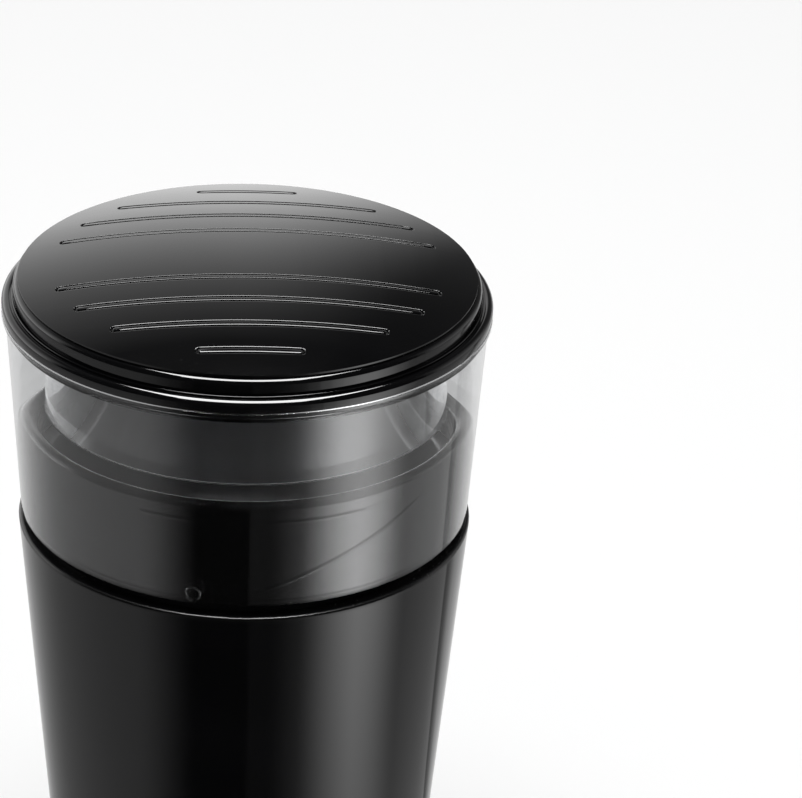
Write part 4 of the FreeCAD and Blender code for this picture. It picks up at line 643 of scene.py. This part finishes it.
def even_shine(piece, wall, rounding, near=0.02):
    """Give the faces of a turned wall, and of the rounding over it, the normals of the true
    surface, so that highlights on them run even. The wall has a lower and an upper end, and the
    rounding a centre and a size."""
    data = piece.data
    low, high = Vector(wall[0]), Vector(wall[1])
    outward = Vector((high.y - low.y, low.x - high.x)).normalized()
    centre, size = Vector(rounding[0]), rounding[1]
    normals = [corner.vector.copy() for corner in data.corner_normals]
    for face in data.polygons:
        places = [data.vertices[index].co * 1000.0 for index in face.vertices]
        points = [Vector((place.xy.length, place.z)) for place in places]
        offsets = [point - centre for point in points]
        if all(abs(offset.length - size) < near and offset.y > -near for offset in offsets):
            leans = [offset.normalized() for offset in offsets]
        elif all(abs((point - low).dot(outward)) < near for point in points):
            leans = [outward] * len(points)
        elif face.normal.z > 0.9999:
            leans = [Vector((0.0, 1.0))] * len(points)
        else:
            continue
        for corner, place, lean in zip(face.loop_indices, places, leans):
            out = place.xy.normalized() * lean.x
            normals[corner] = Vector((out.x, out.y, lean.y))
    data.normals_split_custom_set(normals)


def add_ridge(piece, first, last, level, rise, half_width, height, fade):
    """Add a low ridge round the collar's wall, from one bearing to another. It rises by so much for
    each degree, and fades over so many degrees at its ends."""
    profile = [(height * (1.0 - (part / RIDGE_POINTS) ** 2) ** 2, part / RIDGE_POINTS)
               for part in range(-RIDGE_POINTS, RIDGE_POINTS + 1)]
    mesh = bmesh.new()
    mesh.from_mesh(piece.data)
    rings = []
    for step in range(RIDGE_STEPS + 1):
        bearing = first + (last - first) * step / RIDGE_STEPS
        angle = math.radians(bearing)
        share = min(1.0, (bearing - first) / fade, (last - bearing) / fade) * 0.98 + 0.02
        section = [(-RIDGE_FOOT, -1.0)]
        section += [(stand * share - RIDGE_SINK, across) for stand, across in profile]
        section += [(-RIDGE_FOOT, 1.0)]
        ring = []
        for stand, across in section:
            radius = COLLAR_RADIUS + stand
            place = (radius * math.sin(angle), -radius * math.cos(angle),
                     level + rise * (bearing - first) + across * half_width)
            ring.append(mesh.verts.new(Vector(place) / 1000.0))
        rings.append(ring)
    faces = [mesh.faces.new(rings[0]), mesh.faces.new(rings[-1])]
    for near, far in zip(rings, rings[1:]):
        for index in range(len(near)):
            corners = (near[index - 1], near[index], far[index], far[index - 1])
            faces.append(mesh.faces.new(corners))
    for face in faces:
        face.smooth = True
    bmesh.ops.recalc_face_normals(mesh, faces=faces)
    mesh.to_mesh(piece.data)
    mesh.free()


collar_black = black_gloss("collar_black", (0.0022, 0.0022, 0.0024), 0.03, 1.56)
height = collar_black.axes()[2]
# the crest is dulled by the lid's skirt and by cleaning
collar_black.feed("Roughness", collar_black.dull + height.step(0.1530, 0.1542) * 0.10)
collar = dress("collar", collar_black, "collar_black")
add_ridge(collar, first=-3.0, last=57.0, level=129.9, rise=0.325, half_width=0.8, height=0.3,
          fade=12.0)
add_ridge(collar, first=-25.0, last=35.0, level=150.3, rise=0.0, half_width=0.7, height=0.24,
          fade=1.5)
even_shine(collar, ((COLLAR_RADIUS, COLLAR_LOW), (COLLAR_RADIUS, CREST_CENTRE)),
           ((COLLAR_RADIUS - CREST_ROUND, CREST_CENTRE), CREST_ROUND))


# Housing: a deep tapered shell of polished black plastic, with the motor's and the collar's screw
# posts moulded inside. Its rounded ledge lies under the sleeve, and at the back a flat seat takes
# the grommet.
BASE_RADIUS = 41.9
BASE_HEIGHT = 2.0
EDGE_RADIUS = 51.896
EDGE_HEIGHT = 127.05
EDGE_ROUND = 0.8

housing_black = black_gloss("housing_black", (0.0012, 0.0012, 0.0014), 0.02)
height = housing_black.axes()[2]
# the ledge's edge is dulled by wiping
housing_black.feed("Roughness", housing_black.dull + height.step(0.1264, 0.1270) * 0.22)
even_shine(dress("housing", housing_black, "housing_black"),
           ((BASE_RADIUS, BASE_HEIGHT), (EDGE_RADIUS, EDGE_HEIGHT)),
           ((EDGE_RADIUS - EDGE_ROUND, EDGE_HEIGHT), EDGE_ROUND))


# Bowl: drawn and polished stainless steel with a flanged rim, pressed over the gasket. The drawing
# and the polishing leave fine lines that run round it.
FLOOR_LOW = 109.2
SHEET_STEEL = 0.8
FLOOR_RADIUS = 30.6
CORNER = 12.0
CORNER_STEPS = 16
WALL_RADIUS = 42.6
NECK_INNER = 6.6
NECK_TOP = 113.2
FLANGE_LOW = 146.0
FLANGE_RADIUS = 44.8
FLANGE_ROUND = 1.0
ROUND_CENTRE = 42.9


def worked(name, color, roughness, marks, depth=0.000006, dull=0.82):
    """Worked metal: fine tool marks, and patches that are a little duller."""
    finish = Finish(name, color, Metallic=1.0)
    lines = marks(finish)
    patches = finish.noise(55.0, 4.0)
    finish.shade(patches.step(0.3, 0.7), [part * dull for part in color], color)
    finish.feed("Roughness", roughness + lines * roughness * 0.6 + patches * 0.06)
    finish.relief(lines, depth)
    return finish


def turned_lines(scale):
    """Tool marks that run round the grinder's axis."""
    return lambda finish: finish.noise(1.0, 3.0, finish.lathe(scale))


def brushed_lines(x, y, z):
    """Marks that are longest along the axis with the smallest scale."""
    return lambda finish: finish.noise(1.0, 3.0, finish.stretched(x, y, z))


corner_height = FLOOR_LOW + CORNER
bowl_points = [(NECK_INNER, FLOOR_LOW)]
bowl_points += arc(FLOOR_RADIUS, corner_height, CORNER, -90.0, 0.0, CORNER_STEPS)
bowl_points += [(WALL_RADIUS, FLANGE_LOW - SHEET_STEEL), (WALL_RADIUS + SHEET_STEEL, FLANGE_LOW),
                (FLANGE_RADIUS, FLANGE_LOW), (FLANGE_RADIUS, FLANGE_LOW + SHEET_STEEL)]
bowl_points += arc(ROUND_CENTRE, FLANGE_LOW + SHEET_STEEL - FLANGE_ROUND, FLANGE_ROUND, 90.0,
                   180.0, 5)
bowl_points += arc(FLOOR_RADIUS, corner_height, CORNER - SHEET_STEEL, 0.0, -90.0, CORNER_STEPS)
bowl_points += [(NECK_INNER + SHEET_STEEL, FLOOR_LOW + SHEET_STEEL),
                (NECK_INNER + SHEET_STEEL, NECK_TOP), (NECK_INNER, NECK_TOP)]
bowl = turned([(radius, height, 0.0) for radius, height in bowl_points])
bowl_steel = worked("bowl_steel", (0.74, 0.74, 0.75), 0.27, turned_lines(2600.0))
finish_piece(bowl, "bowl_shell", "root", "bowl_steel", bowl_steel, "bowl", crease=40.0)


# Bowl gasket and shaft seal: moulded rubber. The gasket lies under the bowl's flange, and the seal
# grips the shaft where it comes up through the bowl.
def rubber(name, color, roughness=0.72):
    """Moulded rubber: matt, with some bloom on it and a fine pebbled skin."""
    finish = Finish(name, color, IOR=1.45)
    bloom = finish.noise(95.0, 5.0)
    pebbles = finish.noise(2100.0, 3.0)
    finish.shade(bloom.step(0.42, 0.78), color, [part + 0.028 for part in color])
    finish.feed("Roughness", roughness + bloom * 0.2)
    finish.relief(pebbles + bloom * 0.4, 0.00004)
    return finish


dress("bowl_gasket", rubber("gasket_rubber", (0.05, 0.05, 0.05)), "gasket_rubber")
dress("shaft_seal", rubber("seal_rubber", (0.10, 0.10, 0.11), 0.62), "seal_rubber")


# Blade: two wings of hardened steel sheet, stamped, bent up and down, and ground to an edge. It is
# fixed on the shaft between a plastic washer and a bright cap nut.
blade_steel = worked("blade_steel", (0.70, 0.70, 0.72), 0.17, brushed_lines(90.0, 3200.0, 3200.0),
                     depth=0.00001)
dress("blade", blade_steel, "blade_steel", crease=20.0)


def moulded(name, color, roughness, grain=2400.0, depth=0.00003):
    """Injection moulded plastic: flow marks, and the fine spark-eroded grain of its mould."""
    finish = Finish(name, color, IOR=1.5)
    flow = finish.noise(30.0, 3.0, finish.stretched(1.0, 1.0, 0.4))
    pits = finish.noise(grain, 2.0)
    finish.shade(flow.step(0.35, 0.7), [part * 0.82 for part in color],
                 [part * 1.12 for part in color])
    finish.feed("Roughness", roughness + flow * 0.12 + pits * 0.06)
    finish.relief(pits, depth)
    return finish


dress("blade_washer", moulded("washer_plastic", (0.84, 0.84, 0.80), 0.35), "washer_plastic")
nut_steel = worked("nut_steel", (0.74, 0.74, 0.76), 0.07, turned_lines(3500.0), depth=0.000002)
dress("blade_nut", nut_steel, "nut_steel")


# Shaft and bearings: a ground steel shaft turns in a ball bearing under the bowl and in a bush of
# sintered bronze at the foot of the motor.
shaft_steel = worked("shaft_steel", (0.64, 0.64, 0.66), 0.16, turned_lines(5200.0), depth=0.000003)
dress("shaft", shaft_steel, "shaft_steel")
bearing_steel = worked("bearing_steel", (0.60, 0.60, 0.62), 0.20, turned_lines(3800.0),
                       depth=0.000003)
dress("upper_bearing", bearing_steel, "bearing_steel")
bush_bronze = worked("bush_bronze", (0.55, 0.40, 0.21), 0.42, brushed_lines(2800.0, 2800.0, 2800.0),
                     depth=0.00002)
dress("lower_bearing", bush_bronze, "bush_bronze")


# Motor iron: the armature's core and the stator are stacks of half-millimetre sheet steel, stamped,
# pressed together and varnished, so that their sides show the edges of the sheets.
SHEET = 0.0005
lamination_steel = Finish("lamination_steel", (0.24, 0.25, 0.28), Metallic=0.75)
sheets = lamination_steel.axes()[2].wave(SHEET).power(0.4)
varnish = lamination_steel.noise(70.0, 4.0)
lamination_steel.shade((sheets * 0.7 + varnish * 0.5).least(1.0), (0.09, 0.085, 0.085),
                       (0.31, 0.32, 0.35))
lamination_steel.feed("Roughness", 0.34 + varnish * 0.22)
lamination_steel.relief(sheets + varnish * 0.3, 0.00004)
dress("stator_core", lamination_steel, "lamination_steel")
dress("armature_core", lamination_steel, "lamination_steel")


# Windings: enamelled copper wire, wound through the armature's slots and in two coils round the
# poles of the stator, and held by clear varnish. Each turn shows as a thin ridge.
WIRE = 0.00045
copper_windings = Finish("copper_windings", (0.62, 0.26, 0.10), Metallic=0.85, Coat_Roughness=0.12)
height = copper_windings.axes()[2]
sway = copper_windings.noise(160.0, 2.0) * 0.0012
turns_and_shade = (height * 0.8 + copper_windings.radius() * 0.6 + sway).wave(WIRE)
gloss = copper_windings.noise(120.0, 3.0)
# the colour darkens between the turns: painted shade in the grooves between the wires, while the
# same wave gives each turn its ridge
copper_windings.shade(turns_and_shade.power(0.6), (0.20, 0.07, 0.03), (0.72, 0.31, 0.13))
copper_windings.feed("Roughness", 0.22 + gloss * 0.25)
copper_windings.feed("Coat Weight", gloss.step(0.3, 0.7) * 0.7)
copper_windings.relief(turns_and_shade, 0.00014)
dress("field_coils", copper_windings, "copper_windings")
dress("armature_windings", copper_windings, "copper_windings")


# Commutator: copper bars on a moulded core, turned after it is pressed on the shaft. Where the
# brushes run, the copper is dark and polished.
commutator_copper = Finish("commutator_copper", (0.70, 0.38, 0.20), Metallic=1.0)
height = commutator_copper.axes()[2]
track = height.step(0.0440, 0.0452) * height.step(0.0510, 0.0498)
tool_lines = commutator_copper.noise(1.0, 3.0, commutator_copper.lathe(4200.0))
commutator_copper.shade((track * 0.75 + tool_lines * 0.3).least(1.0), (0.74, 0.40, 0.22),
                        (0.24, 0.12, 0.07))
commutator_copper.feed("Roughness", 0.30 - track * 0.14 + tool_lines * 0.12)
commutator_copper.relief(tool_lines, 0.000006)
dress("commutator", commutator_copper, "commutator_copper")


# Cooling fan: a moulded plastic wheel of straight blades, pressed on the lower end of the shaft. It
# draws air through the motor.
dress("cooling_fan", moulded("fan_plastic", (0.16, 0.16, 0.17), 0.42), "fan_plastic")


# Motor carrier, lower bracket and switch bracket: glass-filled nylon, in which short fibres show at
# the surface. The carrier hangs the motor from the housing on rubber isolators, and the brackets
# hold the lower bush and the switch.
def glass_filled(name, color):
    """Glass-filled nylon: pale flecks of fibre in a dull skin."""
    finish = Finish(name, color, IOR=1.52)
    fibres = finish.noise(1.0, 2.0, finish.stretched(2600.0, 700.0, 1500.0)).step(0.58, 0.72)
    cloud = finish.noise(45.0, 4.0)
    finish.shade((fibres * 0.55 + cloud * 0.35).least(1.0), [part * 0.8 for part in color],
                 [part * 1.2 + 0.05 for part in color])
    finish.feed("Roughness", 0.46 + cloud * 0.16 - fibres * 0.08)
    finish.relief(fibres + cloud * 0.5, 0.000035)
    return finish


dress("motor_carrier", glass_filled("carrier_plastic", (0.13, 0.13, 0.14)), "carrier_plastic")
bracket_plastic = glass_filled("bracket_plastic", (0.17, 0.17, 0.18))
dress("lower_bracket", bracket_plastic, "bracket_plastic")
dress("switch_bracket", bracket_plastic, "bracket_plastic")


# Isolators, feet and grommet: soft moulded rubber, pressed into their holes. The feet carry the
# grinder, and the grommet lines the hole of the cord.
dress("vibration_isolators", rubber("isolator_rubber", (0.05, 0.05, 0.05), 0.66), "gasket_rubber")
dress("rubber_feet", rubber("foot_rubber", (0.03, 0.03, 0.03)), "foot_rubber")
dress("cord_grommet", rubber("grommet_rubber", (0.025, 0.025, 0.025), 0.6), "grommet_rubber")


# Screws: pan heads of zinc plated steel, rolled and then plated, so that they are bright with a
# faint bloom. They hold the motor, its carrier, the collar, the switch, its bracket and the base.
screw_steel = worked("screw_steel", (0.62, 0.62, 0.59), 0.24, brushed_lines(900.0, 900.0, 5200.0),
                     depth=0.000005, dull=0.7)
for screws in ("motor_screws", "carrier_screws", "collar_screws", "switch_screws", "bracket_screws",
               "base_screws"):
    dress(screws, screw_steel, "screw_steel")


# Brush gear: a plate of brown phenolic board carries two stamped brass holders, in which springs of
# drawn steel wire press two carbon brushes on the commutator.
plate_board = Finish("plate_board", (0.35, 0.20, 0.09), IOR=1.55)
weave = plate_board.noise(1.0, 4.0, plate_board.stretched(300.0, 2400.0, 2400.0))
resin = plate_board.noise(60.0, 4.0)
plate_board.shade((weave * 0.5 + resin * 0.5).step(0.35, 0.65), (0.22, 0.11, 0.045),
                  (0.40, 0.23, 0.11))
plate_board.feed("Roughness", 0.34 + resin * 0.25)
plate_board.relief(weave, 0.00002)
dress("brush_plate", plate_board, "plate_board")

brass = worked("brass_parts", (0.72, 0.55, 0.25), 0.22, brushed_lines(160.0, 1900.0, 1900.0),
               dull=0.7)
dress("brush_holders", brass, "brass_parts")
dress("switch_terminals", brass, "brass_parts")

carbon = Finish("carbon", (0.03, 0.03, 0.035), IOR=1.8)
grains = carbon.noise(3200.0, 4.0)
smears = carbon.noise(1.0, 3.0, carbon.stretched(900.0, 160.0, 900.0))
carbon.shade(grains.step(0.55, 0.75), (0.022, 0.022, 0.025), (0.085, 0.085, 0.09))
carbon.feed("Roughness", 0.38 + smears * 0.3)
carbon.relief(grains, 0.00003)
dress("carbon_brushes", carbon, "carbon")

spring_steel = worked("spring_steel", (0.60, 0.61, 0.63), 0.20,
                      brushed_lines(1500.0, 1500.0, 1500.0), depth=0.000004)
dress("brush_springs", spring_steel, "spring_steel")


dress("push_slider", moulded("slider_plastic", (0.05, 0.05, 0.055), 0.38), "slider_plastic")
return_spring = dress("return_spring", spring_steel, "spring_steel")
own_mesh(return_spring)


# Switch: a black moulded body with a red button. Its two brass terminals join it to the mains and
# to the motor.
dress("switch_body", moulded("switch_plastic", (0.04, 0.04, 0.045), 0.36), "switch_plastic")
button_plastic = moulded("button_plastic", (0.60, 0.10, 0.08), 0.30, grain=3200.0)
dress("switch_button", button_plastic, "button_plastic")


# Base cover: a textured black plastic moulding with the vents of the motor. It closes the housing
# from below, and is held by screws inside its feet.
base_black = moulded("base_black", (0.025, 0.025, 0.028), 0.46, grain=1500.0, depth=0.00006)
dress("base_cover", base_black, "base_black")


# The view
bpy.context.scene.view_settings.view_transform = "Standard"
